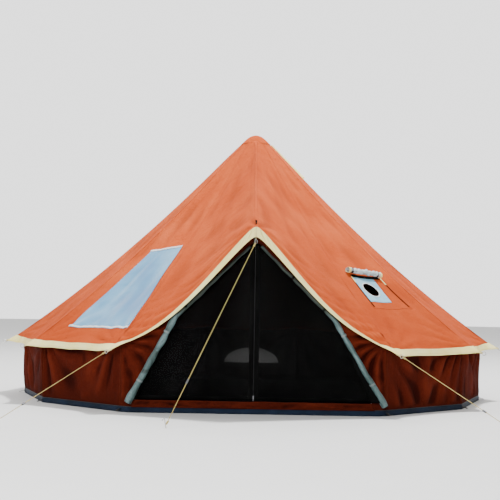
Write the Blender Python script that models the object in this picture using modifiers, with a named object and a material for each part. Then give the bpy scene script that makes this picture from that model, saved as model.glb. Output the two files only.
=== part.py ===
"""Bell tent with a centre pole, a door frame, a clear roof window and a stove jack.

Metres, +Z up. The origin is on the ground under the centre pole and the door faces -Y.
Angles round the tent start at -Y and grow towards +X, so side +1 is the right half.
"""
import math

import bmesh
import bpy
from mathutils import Matrix, Vector

# Plan of the tent
WALL_RADIUS = 2.50
GABLE_ANGLE = math.radians(29.7)
FACETS = 11
FACET_ANGLE = (2 * math.pi - 2 * GABLE_ANGLE) / FACETS
LAST_POINT = FACETS // 2

# Roof: the height of a seam is a slightly hollow curve of the radius
SEAM_TOP = 3.00
SEAM_SLOPE = 1.1126
SEAM_HOLLOW = 0.077
ROOF_TOP_RADIUS = 0.13
EAVE_RADIUS = 2.60
EAVE_SCALLOP = 0.04
EAVE_DROP = 0.02

# Gable over the door
GABLE_REACH = 2.52
GABLE_HEIGHT = 1.72
RIDGE_SAG = 0.03
GABLE_SAG = 0.15

# Cream hems: round the eave, pulled to a tip at each guy line, and along the gable
TIP_REACH = 0.09
VALANCE_OUT = 0.015
VALANCE_DROP = 0.055
TRIM_WIDTH = 0.036
TRIM_APEX_WIDTH = 0.066
TRIM_NARROWS_BY = 0.65

# Fittings in the roof, placed by (share of a facet from its first seam, radius)
SKYLIGHT = ((0.11, 1.40), (0.73, 1.45), (0.02, 2.385), (0.80, 2.39))
STOVE_PATCH = ((0.215, 1.72), (0.59, 1.74), (0.215, 2.02), (0.55, 2.02))
STOVE_HOLE = (0.375, 1.875)
STOVE_HOLE_RADIUS = 0.10
STOVE_ROLL = ((0.15, 1.675), (0.73, 1.73))
STOVE_ROLL_RADIUS = 0.03
STOVE_ROLL_LIFT = 0.036
VENT = ((0.38, 0.28), (0.62, 0.28), (0.30, 0.44), (0.70, 0.44))
VENT_FACET = 2
HOOD_RADII = (0.22, 0.54)
HOOD_HALF_WIDTHS = (0.07, 0.42)
HOOD_HEIGHT = 0.04
HOOD_LIFT = 0.005

# Apex cap
CAP_TIP = 2.912
CAP_EDGE = (0.1245, 2.862)
CAP_THICKNESS = 0.003

# Wall, groundsheet and door
WALL_TOP = 0.685
WALL_TOP_DIP = 0.04
RIM_TOP = 0.05
FLOOR_THICKNESS = 0.004
DOOR_Y = -2.22
DOOR_LEAN = 0.07
DOOR_FOOT = (1.13, 0.1)
DOOR_KINK = (0.74, 0.90)
DOOR_APEX = (0.0, 1.60)
SILL_TOP = 0.118
SILL_MARGIN = 0.02
UNDER_GABLE = 0.96
BELOW_GABLE = 0.012

# Half-moon window in the back wall and the flap that hangs inside it
WINDOW_HALF = 0.37
WINDOW_HEIGHT = 0.21
WINDOW_SILL = 0.22
FLAP_BACK = 0.012
FLAP_HALF = 0.39
FLAP_HEIGHT = 0.195
FLAP_THICKNESS = 0.003

# Sheet thicknesses and clearances
CANVAS = 0.002
FILM = 0.0015
MESH_CLOTH = 0.003
GAP = 0.0003
SEAM_GAP = 0.0006
RIDGE_GAP = 0.0015
CUTTER_DEPTH = 0.05

# Poles
POLE_RADIUS = 0.019
POLE_WALL = 0.0015
POLE_TOP = 2.84
POLE_SECTIONS = 3
SPIGOT = 0.08
FRAME_RADIUS = 0.011
FRAME_BACK = 0.035
FRAME_FOOT = (1.142, 0.032)
FRAME_KINK = (0.77, 0.90)
FRAME_APEX = 1.715
FRAME_BEND = 0.12
ELBOW_REACH = 0.07
ELBOW_BEND = 0.03
ELBOW_WALL = 0.003
FOOT_TOP = 0.0102

# Mesh doors, just inside the door frame
MESH_BACK = 0.052
MESH_OVERLAP = 0.01
MESH_BOTTOM = 0.125
MESH_TOP = 1.585
MESH_APEX_HALF = 0.025
ZIP_GAP = 0.001
SLIDER_SIZE = (0.012, 0.006, 0.028)
SLIDER_HEIGHT = 0.155

# Storm doors rolled to the sides: a fat roll from foot to knee, a thin one above it
ROLL_FOOT_X = {"left": 1.16, "right": 1.22}
ROLL_FOOT_Z = 0.095
ROLL_KNEE = ((0.755, 0.86), (0.715, 0.925))
ROLL_TOP = (0.05, 1.555)
ROLL_FOOT_RADIUS = 0.042
ROLL_KNEE_RADII = (0.032, 0.026)
ROLL_TOP_RADIUS = 0.014
ROLL_CLEARANCE = 0.006

# Guy lines
ROPE_RADIUS = 0.003
RING_RADIUS = 0.018
RING_WIRE = 0.0025
CORNER_RING = (2.732, 0.566)
CORNER_PEG_RADIUS = 4.262
GABLE_RING = (0.0, -2.546, 1.588)
FRONT_PEG = (-0.722, -3.45, 0.0)
ROPE_END_HEIGHT = 0.03
RUNNER_FROM_PEG = 0.42
RUNNER_RADIUS = 0.0085
RUNNER_HALF = 0.022
RUNNER_BORE = 0.0039
PEG_RADIUS = 0.0045
PEG_HEIGHT = 0.07
PEG_HOOK = 0.014
PEG_LEAN = 0.25

TERRACOTTA = (0.52, 0.155, 0.075)
CREAM = (0.80, 0.73, 0.42)
NAVY = (0.012, 0.025, 0.055)
SILVER = (0.42, 0.48, 0.52)
BLACK = (0.012, 0.012, 0.013)
STEEL = (0.55, 0.56, 0.57)
YELLOW = (0.60, 0.42, 0.08)

SIDES = (("left", -1), ("right", 1))


# ---------------------------------------------------------------- scene and materials

def clear_scene():
    for obj in list(bpy.data.objects):
        bpy.data.objects.remove(obj, do_unlink=True)


def new_collection(name):
    collection = bpy.data.collections.new(name)
    bpy.context.scene.collection.children.link(collection)
    return collection


def make_material(name, colour, roughness, metallic=0.0, alpha=1.0):
    material = bpy.data.materials.new(name)
    material.use_nodes = True
    shader = material.node_tree.nodes["Principled BSDF"]
    shader.inputs["Base Color"].default_value = (*colour, 1.0)
    shader.inputs["Roughness"].default_value = roughness
    shader.inputs["Metallic"].default_value = metallic
    shader.inputs["Alpha"].default_value = alpha
    material.diffuse_color = (*colour, alpha)
    return material


clear_scene()
TENT = new_collection("bell_tent")
CUTTERS = new_collection("cutters")

CANVAS_CLOTH = make_material("canvas_terracotta", TERRACOTTA, 0.85)
TRIM_CLOTH = make_material("trim_cream", CREAM, 0.80)
PVC = make_material("groundsheet_navy", NAVY, 0.50)
LINING = make_material("lining_silver", SILVER, 0.45)
INSECT_MESH = make_material("insect_mesh", BLACK, 0.80, alpha=0.6)
CLEAR_FILM = make_material("clear_film", (0.55, 0.68, 0.78), 0.15, alpha=0.5)
HEAT_CLOTH = make_material("heat_cloth", (0.60, 0.70, 0.76), 0.55)
STEEL_TUBE = make_material("steel_tube", STEEL, 0.35, metallic=1.0)
RUBBER = make_material("rubber", BLACK, 0.75)
ROPE_YARN = make_material("rope_yellow", YELLOW, 0.75)
ZIP_METAL = make_material("zip_metal", (0.25, 0.25, 0.26), 0.40, metallic=1.0)


# ---------------------------------------------------------------- modelling helpers

def add_object(name, data, material, collection=None):
    obj = bpy.data.objects.new(name, data)
    (collection or TENT).objects.link(obj)
    if material:
        data.materials.append(material)
    return obj


def mark_as_cutter(obj):
    obj.hide_render = True
    obj.display_type = "WIRE"


def shade(mesh, angle=40):
    mesh.shade_smooth()
    mesh.set_sharp_from_angle(angle=math.radians(angle))


def thicken(obj, thickness):
    solidify = obj.modifiers.new("thickness", "SOLIDIFY")
    solidify.thickness = thickness
    solidify.offset = 0
    solidify.use_even_offset = True


def sheet(name, point, columns, rows, material, thickness=CANVAS, collection=None):
    """A grid of cloth bent to point(u, v), u and v running from 0 to 1, then thickened."""
    bm = bmesh.new()
    bmesh.ops.create_grid(bm, x_segments=columns, y_segments=rows, size=0.5)
    for vertex in bm.verts:
        vertex.co = point(vertex.co.x + 0.5, vertex.co.y + 0.5)
    mesh = bpy.data.meshes.new(name)
    bm.to_mesh(mesh)
    bm.free()
    shade(mesh)
    obj = add_object(name, mesh, material, collection)
    thicken(obj, thickness)
    return obj


def cut(obj, cutter):
    mark_as_cutter(cutter)
    boolean = obj.modifiers.new("opening", "BOOLEAN")
    boolean.operation = "DIFFERENCE"
    boolean.solver = "EXACT"
    boolean.object = cutter


def turned(name, profile, material, location=(0, 0, 0), steps=24, closed=False):
    """A profile of (radius, height) points turned about the vertical axis."""
    mesh = bpy.data.meshes.new(name)
    bm = bmesh.new()
    verts = [bm.verts.new((radius, 0, height)) for radius, height in profile]
    for start, end in zip(verts, verts[1:]):
        bm.edges.new((start, end))
    if closed:
        bm.edges.new((verts[-1], verts[0]))
    bm.to_mesh(mesh)
    bm.free()
    obj = add_object(name, mesh, material)
    obj.location = location
    screw = obj.modifiers.new("turn", "SCREW")
    screw.axis = "Z"
    screw.steps = steps
    screw.render_steps = steps
    screw.use_merge_vertices = True
    screw.merge_threshold = 0.00001
    screw.use_smooth_shade = True
    return obj


def tube(name, points, radius, material, sides=4, scale=None):
    """A round bar through the points; scale gives each point's share of the radius."""
    curve = bpy.data.curves.new(name, "CURVE")
    curve.dimensions = "3D"
    curve.bevel_depth = radius
    curve.bevel_resolution = sides
    curve.use_fill_caps = True
    curve.twist_mode = "MINIMUM"
    spline = curve.splines.new("POLY")
    spline.points.add(len(points) - 1)
    for index, position in enumerate(points):
        spline.points[index].co = (*position, 1.0)
        spline.points[index].radius = scale[index] if scale else 1.0
    return add_object(name, curve, material)


def plate(name, outlines, thickness, bottom, material):
    """A flat plate whose first outline is its edge and whose others are holes."""
    curve = bpy.data.curves.new(name, "CURVE")
    curve.dimensions = "2D"
    curve.fill_mode = "BOTH"
    curve.extrude = thickness / 2
    for outline in outlines:
        spline = curve.splines.new("POLY")
        spline.points.add(len(outline) - 1)
        spline.use_cyclic_u = True
        for index, (x, y) in enumerate(outline):
            spline.points[index].co = (x, y, 0, 1)
    obj = add_object(name, curve, material)
    obj.location.z = bottom + thickness / 2
    return obj


def round_bend(before, corner, after, radius, steps=4):
    """Points of an arc that rounds the corner between two straight runs."""
    to_before = (before - corner).normalized()
    to_after = (after - corner).normalized()
    half = to_before.angle(to_after) / 2
    reach = radius / math.tan(half)
    centre = corner + (to_before + to_after).normalized() * (radius / math.sin(half))
    first = (corner + to_before * reach - centre).normalized()
    last = (corner + to_after * reach - centre).normalized()
    return [centre + first.slerp(last, step / steps).normalized() * radius
            for step in range(steps + 1)]


def move_origin(obj, point):
    """Put the object's origin on the point and leave its shape where it is."""
    obj.data.transform(Matrix.Translation(-Vector(point)))
    obj.location = point


def blend(start, end, share):
    return start + (end - start) * share


# ---------------------------------------------------------------- canvas surfaces

def polar(radius, angle, height):
    return Vector((radius * math.sin(angle), -radius * math.cos(angle), height))


def guy_angle(index):
    """Angle of a guy point, counted from the right gable corner round the back."""
    return GABLE_ANGLE + index * FACET_ANGLE


def seam_point(radius, angle):
    height = SEAM_TOP - SEAM_SLOPE * radius + SEAM_HOLLOW * radius ** 2
    return polar(radius, angle, height)


def roof_point(first, share, radius):
    """Roof canvas at a radius, share guy points on from the first, flat between seams."""
    facet = min(int(share), FACETS - 1)
    rest = share - facet
    start = seam_point(radius, guy_angle(first + facet))
    end = seam_point(radius, guy_angle(first + facet + 1))
    position = blend(start, end, rest)
    along_roof = (radius - ROOF_TOP_RADIUS) / (EAVE_RADIUS - ROOF_TOP_RADIUS)
    slack = 4 * rest * (1 - rest) * along_roof ** 6
    inward = Vector((position.x, position.y, 0)).normalized() * -EAVE_SCALLOP
    return position + (inward + Vector((0, 0, -EAVE_DROP))) * slack


def mirrored(point, side):
    return Vector((point.x * side, point.y, point.z))


def gable_point(side, along, across):
    """Front roof canvas: along runs down the roof, across from the ridge to the seam."""
    top = seam_point(ROOF_TOP_RADIUS, 0)
    front = Vector((0, -GABLE_REACH, GABLE_HEIGHT))
    ridge = blend(top, front, along)
    ridge.z -= RIDGE_SAG * math.sin(math.pi * along)
    seam = seam_point(ROOF_TOP_RADIUS + along * (EAVE_RADIUS - ROOF_TOP_RADIUS), GABLE_ANGLE)
    position = blend(ridge, seam, across)
    position.z -= GABLE_SAG * math.sin(math.pi * across ** 1.3) * along ** 3
    return mirrored(position, side)


def shoulder(value, gap, length):
    """Map 0..1 so that a gap is left free at both ends of a run of this length."""
    share = gap / length
    return share + value * (1 - 2 * share)


def facet_width(radius):
    return 2 * radius * math.sin(FACET_ANGLE / 2)


def roof_panel(name, side, first, facets):
    def point(u, v):
        radius = ROOF_TOP_RADIUS + v * (EAVE_RADIUS - ROOF_TOP_RADIUS)
        share = facets * shoulder(u, SEAM_GAP, facets * facet_width(radius))
        return mirrored(roof_point(first, share, radius), side)

    return sheet(name, point, 4 * facets, 9, CANVAS_CLOTH)


def roof_region(name, side, first, corners, material, inset=0.0, thickness=CANVAS,
                collection=None):
    """A four-cornered piece of the roof surface, its corners given as (share, radius)."""
    def point(u, v):
        top_left, top_right, low_left, low_right = corners
        share_top = top_left[0] + u * (top_right[0] - top_left[0])
        share_low = low_left[0] + u * (low_right[0] - low_left[0])
        radius_top = top_left[1] + u * (top_right[1] - top_left[1])
        radius_low = low_left[1] + u * (low_right[1] - low_left[1])
        share = share_top + v * (share_low - share_top)
        radius = radius_top + v * (radius_low - radius_top)
        return mirrored(roof_point(first, share, radius), side)

    def inset_point(u, v):
        width = (point(1, v) - point(0, v)).length
        height = (point(u, 1) - point(u, 0)).length
        return point(shoulder(u, inset, width), shoulder(v, inset, height))

    return sheet(name, inset_point, 3, 4, material, thickness, collection)


# ---------------------------------------------------------------- roof


def make_roof():
    for word, side in SIDES:
        front = roof_panel(f"roof_{word}_front", side, 0, 1)
        middle = roof_panel(f"roof_{word}_middle", side, 1, 2)
        roof_panel(f"roof_{word}_rear", side, 3, 2)
        if side < 0:
            make_skylight(front)
        else:
            make_stove_jack(front)
            make_vent(middle)

        def front_point(u, v, side=side):
            width = (gable_point(1, v, 1) - gable_point(1, v, 0)).length
            return gable_point(side, v, shoulder(u, RIDGE_GAP, width))

        sheet(f"roof_gable_{word}", front_point, 6, 10, CANVAS_CLOTH)
    roof_panel("roof_back", 1, LAST_POINT, 1)
    make_apex_cap()


def make_apex_cap():
    """Shallow bowl over the top of the roof, its crown an arc of a parabola."""
    edge_radius, edge_height = CAP_EDGE
    steps = 6
    fall = (CAP_TIP - edge_height) / edge_radius ** 2
    outer = []
    for step in range(steps + 1):
        radius = edge_radius * step / steps
        outer.append((radius, CAP_TIP - fall * radius ** 2))
    inner = [(max(radius - CANVAS / 2, 0), height - CAP_THICKNESS)
             for radius, height in reversed(outer)]
    turned("apex_cap", outer + inner, CANVAS_CLOTH, steps=26)


def make_skylight(panel):
    cutter = roof_region("skylight_cutter", -1, 0, SKYLIGHT, None, thickness=CUTTER_DEPTH,
                         collection=CUTTERS)
    cut(panel, cutter)
    roof_region("skylight_window", -1, 0, SKYLIGHT, CLEAR_FILM, inset=SEAM_GAP,
                thickness=FILM)


def surface_frame(side, first, share, radius):
    """Centre of a spot on the roof and the rotation that stands +Z on the canvas."""
    step = 0.01
    centre = mirrored(roof_point(first, share, radius), side)
    down = (mirrored(roof_point(first, share, radius + step), side) - centre).normalized()
    along = (mirrored(roof_point(first, share + step, radius), side) - centre).normalized()
    normal = along.cross(down).normalized()
    if normal.z < 0:
        normal.negate()
    rotation = Matrix((along, normal.cross(along), normal)).transposed()
    return centre, rotation


def make_stove_jack(panel):
    cutter = roof_region("stove_cutter", 1, 0, STOVE_PATCH, None, thickness=CUTTER_DEPTH,
                         collection=CUTTERS)
    cut(panel, cutter)
    patch = roof_region("stove_jack_patch", 1, 0, STOVE_PATCH, HEAT_CLOTH, inset=SEAM_GAP)
    centre, rotation = surface_frame(1, 0, *STOVE_HOLE)
    bm = bmesh.new()
    bmesh.ops.create_cone(bm, cap_ends=True, segments=32, radius1=STOVE_HOLE_RADIUS,
                          radius2=STOVE_HOLE_RADIUS, depth=2 * CUTTER_DEPTH)
    mesh = bpy.data.meshes.new("pipe_cutter")
    bm.to_mesh(mesh)
    bm.free()
    pipe = add_object("pipe_cutter", mesh, None, CUTTERS)
    pipe.matrix_world = Matrix.Translation(centre) @ rotation.to_4x4()
    cut(patch, pipe)

    lift = Vector((0, 0, STOVE_ROLL_LIFT))
    ends = []
    for spot in STOVE_ROLL:
        centre, rotation = surface_frame(1, 0, *spot)
        ends.append(centre + rotation @ lift)
    steps = 6
    tube("stove_jack_flap_roll", [blend(*ends, step / steps) for step in range(steps + 1)],
         STOVE_ROLL_RADIUS, LINING)


def make_vent(panel):
    cutter = roof_region("vent_cutter", 1, VENT_FACET, VENT, None, thickness=CUTTER_DEPTH,
                         collection=CUTTERS)
    cut(panel, cutter)
    roof_region("vent_mesh", 1, VENT_FACET, VENT, INSECT_MESH, inset=SEAM_GAP,
                thickness=FILM)

    def point(u, v):
        across = 2 * u - 1
        half = blend(*HOOD_HALF_WIDTHS, v)
        radius = blend(*HOOD_RADII, v)
        arch = (1 - across ** 2) * (0.15 + 0.85 * v) * HOOD_HEIGHT
        centre, rotation = surface_frame(1, VENT_FACET, 0.5 + across * half, radius)
        return centre + rotation @ Vector((0, 0, HOOD_LIFT + arch))

    sheet("vent_hood", point, 8, 5, TRIM_CLOTH)


# ---------------------------------------------------------------- cream trim


def make_valance():
    """Hem round the eave, pulled out to a point at every guy line."""
    def point(u, v):
        share = min(u * FACETS, FACETS - 1e-6)
        rest = share - int(share)
        edge = roof_point(0, share, EAVE_RADIUS)
        out = Vector((edge.x, edge.y, 0)).normalized()
        tip = abs(2 * rest - 1) ** 4
        top = edge + out * (CANVAS + GAP)
        drop = out * (VALANCE_OUT + TIP_REACH * tip) + Vector((0, 0, -VALANCE_DROP))
        return top + drop * v

    sheet("eave_valance", point, 6 * FACETS, 1, TRIM_CLOTH)


def make_gable_trim():
    """Band hanging from the front edge of the roof, widest over the door's apex."""
    for word, side in SIDES:
        def point(u, v, side=side):
            across = shoulder(u, RIDGE_GAP, 2.0)
            edge = gable_point(side, 1, across)
            narrowing = min(across / TRIM_NARROWS_BY, 1)
            width = TRIM_WIDTH + TRIM_APEX_WIDTH * (1 - narrowing) ** 2 * (1 + 2 * narrowing)
            edge += Vector((0, -CANVAS - GAP, -CANVAS / 2))
            return edge + Vector((0, -0.2, -1)) * width * v

        sheet(f"gable_trim_{word}", point, 14, 1, TRIM_CLOTH)


# ---------------------------------------------------------------- walls and floor

def outline(inset):
    """Plan of the tent at the ground, with the straight door sill at the front."""
    radius = WALL_RADIUS - inset
    right = [polar(radius, guy_angle(index), 0) for index in range(LAST_POINT + 1)]
    half = [(DOOR_FOOT[0] + SILL_MARGIN, DOOR_Y + inset)]
    half += [(point.x, point.y) for point in right]
    return half + [(-x, y) for x, y in reversed(half)]


def wall_panel(name, side, first, facets):
    def point(u, v):
        share = facets * shoulder(u, SEAM_GAP, facets * facet_width(WALL_RADIUS))
        facet = min(int(share), facets - 1)
        start = polar(WALL_RADIUS, guy_angle(first + facet), 0)
        end = polar(WALL_RADIUS, guy_angle(first + facet + 1), 0)
        rest = share - facet
        top = WALL_TOP - WALL_TOP_DIP * 4 * rest * (1 - rest)
        position = blend(start, end, rest)
        position.z = blend(RIM_TOP + GAP, top, v)
        return mirrored(position, side)

    return sheet(name, point, 4 * facets, 1, CANVAS_CLOTH)


def door_plane(x, z, back=0.0):
    return Vector((x, DOOR_Y - DOOR_LEAN * z + back, z))


def broken_line(points, value):
    """Point on a line of straight runs that all take an equal share of 0..1."""
    runs = len(points) - 1
    run = min(int(value * runs), runs - 1)
    return blend(points[run], points[run + 1], value * runs - run)


def make_front_walls():
    """Canvas between each side of the door, the eave corner and the gable."""
    base = RIM_TOP + GAP
    inner = [door_plane(DOOR_FOOT[0], base), door_plane(*DOOR_KINK),
             door_plane(SILL_MARGIN, DOOR_APEX[1])]

    for word, side in SIDES:
        def point(u, v, side=side):
            if v < 0.5:
                corner = polar(WALL_RADIUS, GABLE_ANGLE, base)
                eave = polar(WALL_RADIUS, GABLE_ANGLE, WALL_TOP)
                outer = blend(corner, eave, v * 2) + Vector((-2 * SEAM_GAP, -SEAM_GAP, 0))
            else:
                across = blend(1, SILL_MARGIN, v * 2 - 1)
                outer = gable_point(1, UNDER_GABLE, across) + Vector((0, 0, -BELOW_GABLE))
            return mirrored(blend(outer, broken_line(inner, v), u), side)

        sheet(f"front_wall_{word}", point, 3, 16, CANVAS_CLOTH)


def make_walls():
    for word, side in SIDES:
        wall_panel(f"wall_{word}_front", side, 0, 1)
        wall_panel(f"wall_{word}_middle", side, 1, 2)
        wall_panel(f"wall_{word}_rear", side, 3, 2)
    back = wall_panel("wall_back", 1, LAST_POINT, 1)
    make_rear_window(back)
    make_front_walls()


def make_groundsheet():
    plate("groundsheet_floor", [outline(-CANVAS / 2)], FLOOR_THICKNESS, 0, PVC)
    rim_bottom = FLOOR_THICKNESS + GAP
    plate("groundsheet_rim", [outline(-CANVAS / 2), outline(CANVAS / 2)],
          RIM_TOP - rim_bottom, rim_bottom, PVC)

    base = RIM_TOP + GAP
    edge_slope = (DOOR_KINK[0] - DOOR_FOOT[0]) / (DOOR_KINK[1] - base)

    def sill_point(u, v):
        z = base + v * (SILL_TOP - base)
        half = DOOR_FOOT[0] - SEAM_GAP + edge_slope * (z - base)
        return door_plane(half * (2 * u - 1), z)

    sheet("door_sill", sill_point, 4, 1, CANVAS_CLOTH)


# ---------------------------------------------------------------- rear window


def half_moon(name, half, height, thickness, material, collection=None, hanging=False):
    """Half of an ellipse in the XZ plane, above its flat edge or hanging from it."""
    bm = bmesh.new()
    bmesh.ops.create_circle(bm, cap_ends=True, segments=40, radius=1)
    bmesh.ops.scale(bm, vec=(half, height, 1), verts=bm.verts)
    bmesh.ops.bisect_plane(bm, geom=bm.verts[:] + bm.edges[:] + bm.faces[:],
                           plane_co=(0, 0, 0), plane_no=(0, 1, 0), clear_inner=True)
    turn = -math.pi / 2 if hanging else math.pi / 2
    bmesh.ops.rotate(bm, verts=bm.verts, matrix=Matrix.Rotation(turn, 3, "X"))
    mesh = bpy.data.meshes.new(name)
    bm.to_mesh(mesh)
    bm.free()
    obj = add_object(name, mesh, material, collection)
    thicken(obj, thickness)
    return obj


def make_rear_window(panel):
    wall_y = WALL_RADIUS * math.cos(FACET_ANGLE / 2)
    cutter = half_moon("window_cutter", WINDOW_HALF, WINDOW_HEIGHT, CUTTER_DEPTH, None, CUTTERS)
    cutter.location = (0, wall_y, WINDOW_SILL)
    cut(panel, cutter)
    pane = half_moon("rear_window_mesh", WINDOW_HALF - SEAM_GAP, WINDOW_HEIGHT - 2 * SEAM_GAP,
                     FILM, INSECT_MESH)
    pane.location = (0, wall_y, WINDOW_SILL + SEAM_GAP)
    flap = half_moon("rear_window_flap", FLAP_HALF, FLAP_HEIGHT, FLAP_THICKNESS, CANVAS_CLOTH,
                     hanging=True)
    flap.location = (0, wall_y - FLAP_BACK, WINDOW_SILL - CANVAS)


# ---------------------------------------------------------------- poles

def make_centre_pole():
    """Three tubes that plug into each other, a rubber foot and a rounded cap."""
    inner = POLE_RADIUS - POLE_WALL
    spigot = inner - GAP
    bore = spigot - POLE_WALL
    length = (POLE_TOP - FOOT_TOP) / POLE_SECTIONS
    for index, word in enumerate(("lower", "middle", "upper")):
        bottom = FOOT_TOP + index * length
        top = bottom + length - GAP
        profile = [(POLE_RADIUS, top), (POLE_RADIUS, bottom)]
        if index:
            profile += [(spigot, bottom), (spigot, bottom - SPIGOT), (bore, bottom - SPIGOT),
                        (bore, bottom + 0.01), (inner, bottom + 0.02)]
        else:
            profile.append((inner, bottom))
        profile.append((inner, top))
        turned(f"centre_pole_{word}", profile, STEEL_TUBE, closed=True)

    cup = POLE_RADIUS + GAP
    floor = FLOOR_THICKNESS + GAP
    seat = FOOT_TOP - GAP
    foot_height, foot_radii = 0.05, (0.024, 0.028)
    turned("centre_pole_foot", [(0, seat), (cup, seat), (cup, foot_height),
                                (foot_radii[0], foot_height), (foot_radii[1], floor), (0, floor)],
           RUBBER)
    crown = [(0, 0.046), (0.02, 0.044), (0.038, 0.034), (0.046, 0.018), (0.046, 0)]
    stem = [(spigot, 0), (spigot, -0.04), (0, -0.04)]
    turned("centre_pole_cap", crown + stem, RUBBER, (0, 0, POLE_TOP))


def frame_point(x, z):
    return door_plane(x, z, FRAME_BACK)


def make_door_frame():
    """Two bent tubes that meet in an elbow under the ridge and stand on rubber feet."""
    foot = frame_point(*FRAME_FOOT)
    kink = frame_point(*FRAME_KINK)
    apex = frame_point(0, FRAME_APEX)
    slope = (kink - apex).normalized()
    leg_end = apex + slope * ELBOW_REACH
    foot_profile = [(0, 0.022), (0.012, 0.022), (0.016, 0.004), (0.016, 0), (0, 0)]
    for word, side in SIDES:
        path = [foot] + round_bend(foot, kink, leg_end, FRAME_BEND) + [leg_end]
        tube(f"door_frame_{word}", [mirrored(point, side) for point in path], FRAME_RADIUS,
             STEEL_TUBE)
        turned(f"door_frame_foot_{word}", foot_profile, RUBBER,
               (foot.x * side, foot.y, FLOOR_THICKNESS + GAP), steps=16)
    start = apex + slope * (ELBOW_REACH - GAP)
    finish = mirrored(start, -1)
    bend = round_bend(start, apex, finish, ELBOW_BEND)
    tube("door_frame_elbow", [start] + bend + [finish], FRAME_RADIUS + ELBOW_WALL, STEEL_TUBE)


# ---------------------------------------------------------------- doors

def make_mesh_doors():
    """Two halves of insect mesh that meet at the zip and swing on their lower side edge."""
    hinge_low = door_plane(DOOR_FOOT[0], MESH_BOTTOM, MESH_BACK)
    outline_points = [(DOOR_FOOT[0] + MESH_OVERLAP, MESH_BOTTOM),
                      (DOOR_KINK[0] + MESH_OVERLAP, DOOR_KINK[1]), (MESH_APEX_HALF, MESH_TOP)]
    outer = [door_plane(x, z, MESH_BACK) for x, z in outline_points]
    for word, side in SIDES:
        def point(u, v, side=side):
            edge = broken_line(outer, v)
            centre = Vector((ZIP_GAP, edge.y, edge.z))
            return mirrored(blend(edge, centre, u), side)

        door = sheet(f"mesh_door_{word}", point, 3, 8, INSECT_MESH, MESH_CLOTH)
        move_origin(door, mirrored(hinge_low + Vector((MESH_OVERLAP, 0, 0)), side))


def make_zip_slider():
    bm = bmesh.new()
    bmesh.ops.create_cube(bm, size=1)
    bmesh.ops.scale(bm, vec=SLIDER_SIZE, verts=bm.verts)
    mesh = bpy.data.meshes.new("zip_slider")
    bm.to_mesh(mesh)
    bm.free()
    slider = add_object("zip_slider", mesh, ZIP_METAL)
    in_front = MESH_CLOTH / 2 + SLIDER_SIZE[1] / 2 + ZIP_GAP
    slider.location = door_plane(0, SLIDER_HEIGHT, MESH_BACK - in_front)
    slider.rotation_euler.x = math.atan(DOOR_LEAN)
    bevel = slider.modifiers.new("edges", "BEVEL")
    bevel.width = 0.0015
    bevel.segments = 2


def make_storm_doors():
    """Storm doors rolled to the sides, each as one bar of changing thickness."""
    steps = 5
    for word, side in SIDES:
        stations = []
        for step in range(steps + 1):
            share = step / steps
            x = blend(ROLL_FOOT_X[word], ROLL_KNEE[0][0], share)
            z = blend(ROLL_FOOT_Z, ROLL_KNEE[0][1], share)
            stations.append((x, z, blend(ROLL_FOOT_RADIUS, ROLL_KNEE_RADII[0], share ** 3)))
        for step in range(steps + 1):
            share = step / steps
            x = blend(ROLL_KNEE[1][0], ROLL_TOP[0], share)
            z = blend(ROLL_KNEE[1][1], ROLL_TOP[1], share)
            stations.append((x, z, blend(ROLL_KNEE_RADII[1], ROLL_TOP_RADIUS, share)))
        path = [mirrored(door_plane(x, z, -radius - ROLL_CLEARANCE), side)
                for x, z, radius in stations]
        tube(f"storm_door_{word}", path, ROLL_FOOT_RADIUS, LINING,
             scale=[radius / ROLL_FOOT_RADIUS for _, _, radius in stations])


# ---------------------------------------------------------------- guy lines

def ring(name, centre, aim):
    """A steel ring that stands upright in the rope's own vertical plane."""
    bpy.ops.mesh.primitive_torus_add(major_segments=20, minor_segments=8,
                                     major_radius=RING_RADIUS, minor_radius=RING_WIRE)
    obj = bpy.context.object
    obj.name = name
    obj.data.name = name
    for collection in list(obj.users_collection):
        collection.objects.unlink(obj)
    TENT.objects.link(obj)
    obj.data.materials.append(STEEL_TUBE)
    obj.data.shade_smooth()
    level = Vector((aim.x, aim.y, 0)).normalized()
    across = level.cross(Vector((0, 0, 1)))
    obj.matrix_world = Matrix.Translation(centre) @ Matrix(
        (level, Vector((0, 0, 1)), across)).transposed().to_4x4()
    return obj


def peg(name, foot, away):
    """Top of a round steel peg: it leans away from the tent and ends in a hook."""
    lean = (away * PEG_LEAN + Vector((0, 0, 1))).normalized()
    side = (away - lean * away.dot(lean)).normalized()
    top = foot + lean * PEG_HEIGHT
    turn = []
    for step in range(1, 7):
        angle = math.radians(30 * step)
        turn.append(top + side * PEG_HOOK * (1 - math.cos(angle))
                    + lean * PEG_HOOK * math.sin(angle))
    start = foot + lean * (PEG_RADIUS * PEG_LEAN + GAP)
    tube(name, [start, foot + lean * PEG_HEIGHT / 2, top] + turn, PEG_RADIUS, STEEL_TUBE,
         sides=3)


def runner(name, centre, direction):
    """A barrel-shaped rope tensioner with a clear bore for the rope."""
    waist, band = RUNNER_RADIUS * 0.75, RUNNER_HALF * 0.6
    profile = [(waist, RUNNER_HALF), (RUNNER_RADIUS, band), (RUNNER_RADIUS, -band),
               (waist, -RUNNER_HALF), (RUNNER_BORE, -RUNNER_HALF), (RUNNER_BORE, RUNNER_HALF)]
    obj = turned(name, profile, ZIP_METAL, centre, steps=16, closed=True)
    obj.rotation_mode = "QUATERNION"
    obj.rotation_quaternion = Vector((0, 0, 1)).rotation_difference(direction)


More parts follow.
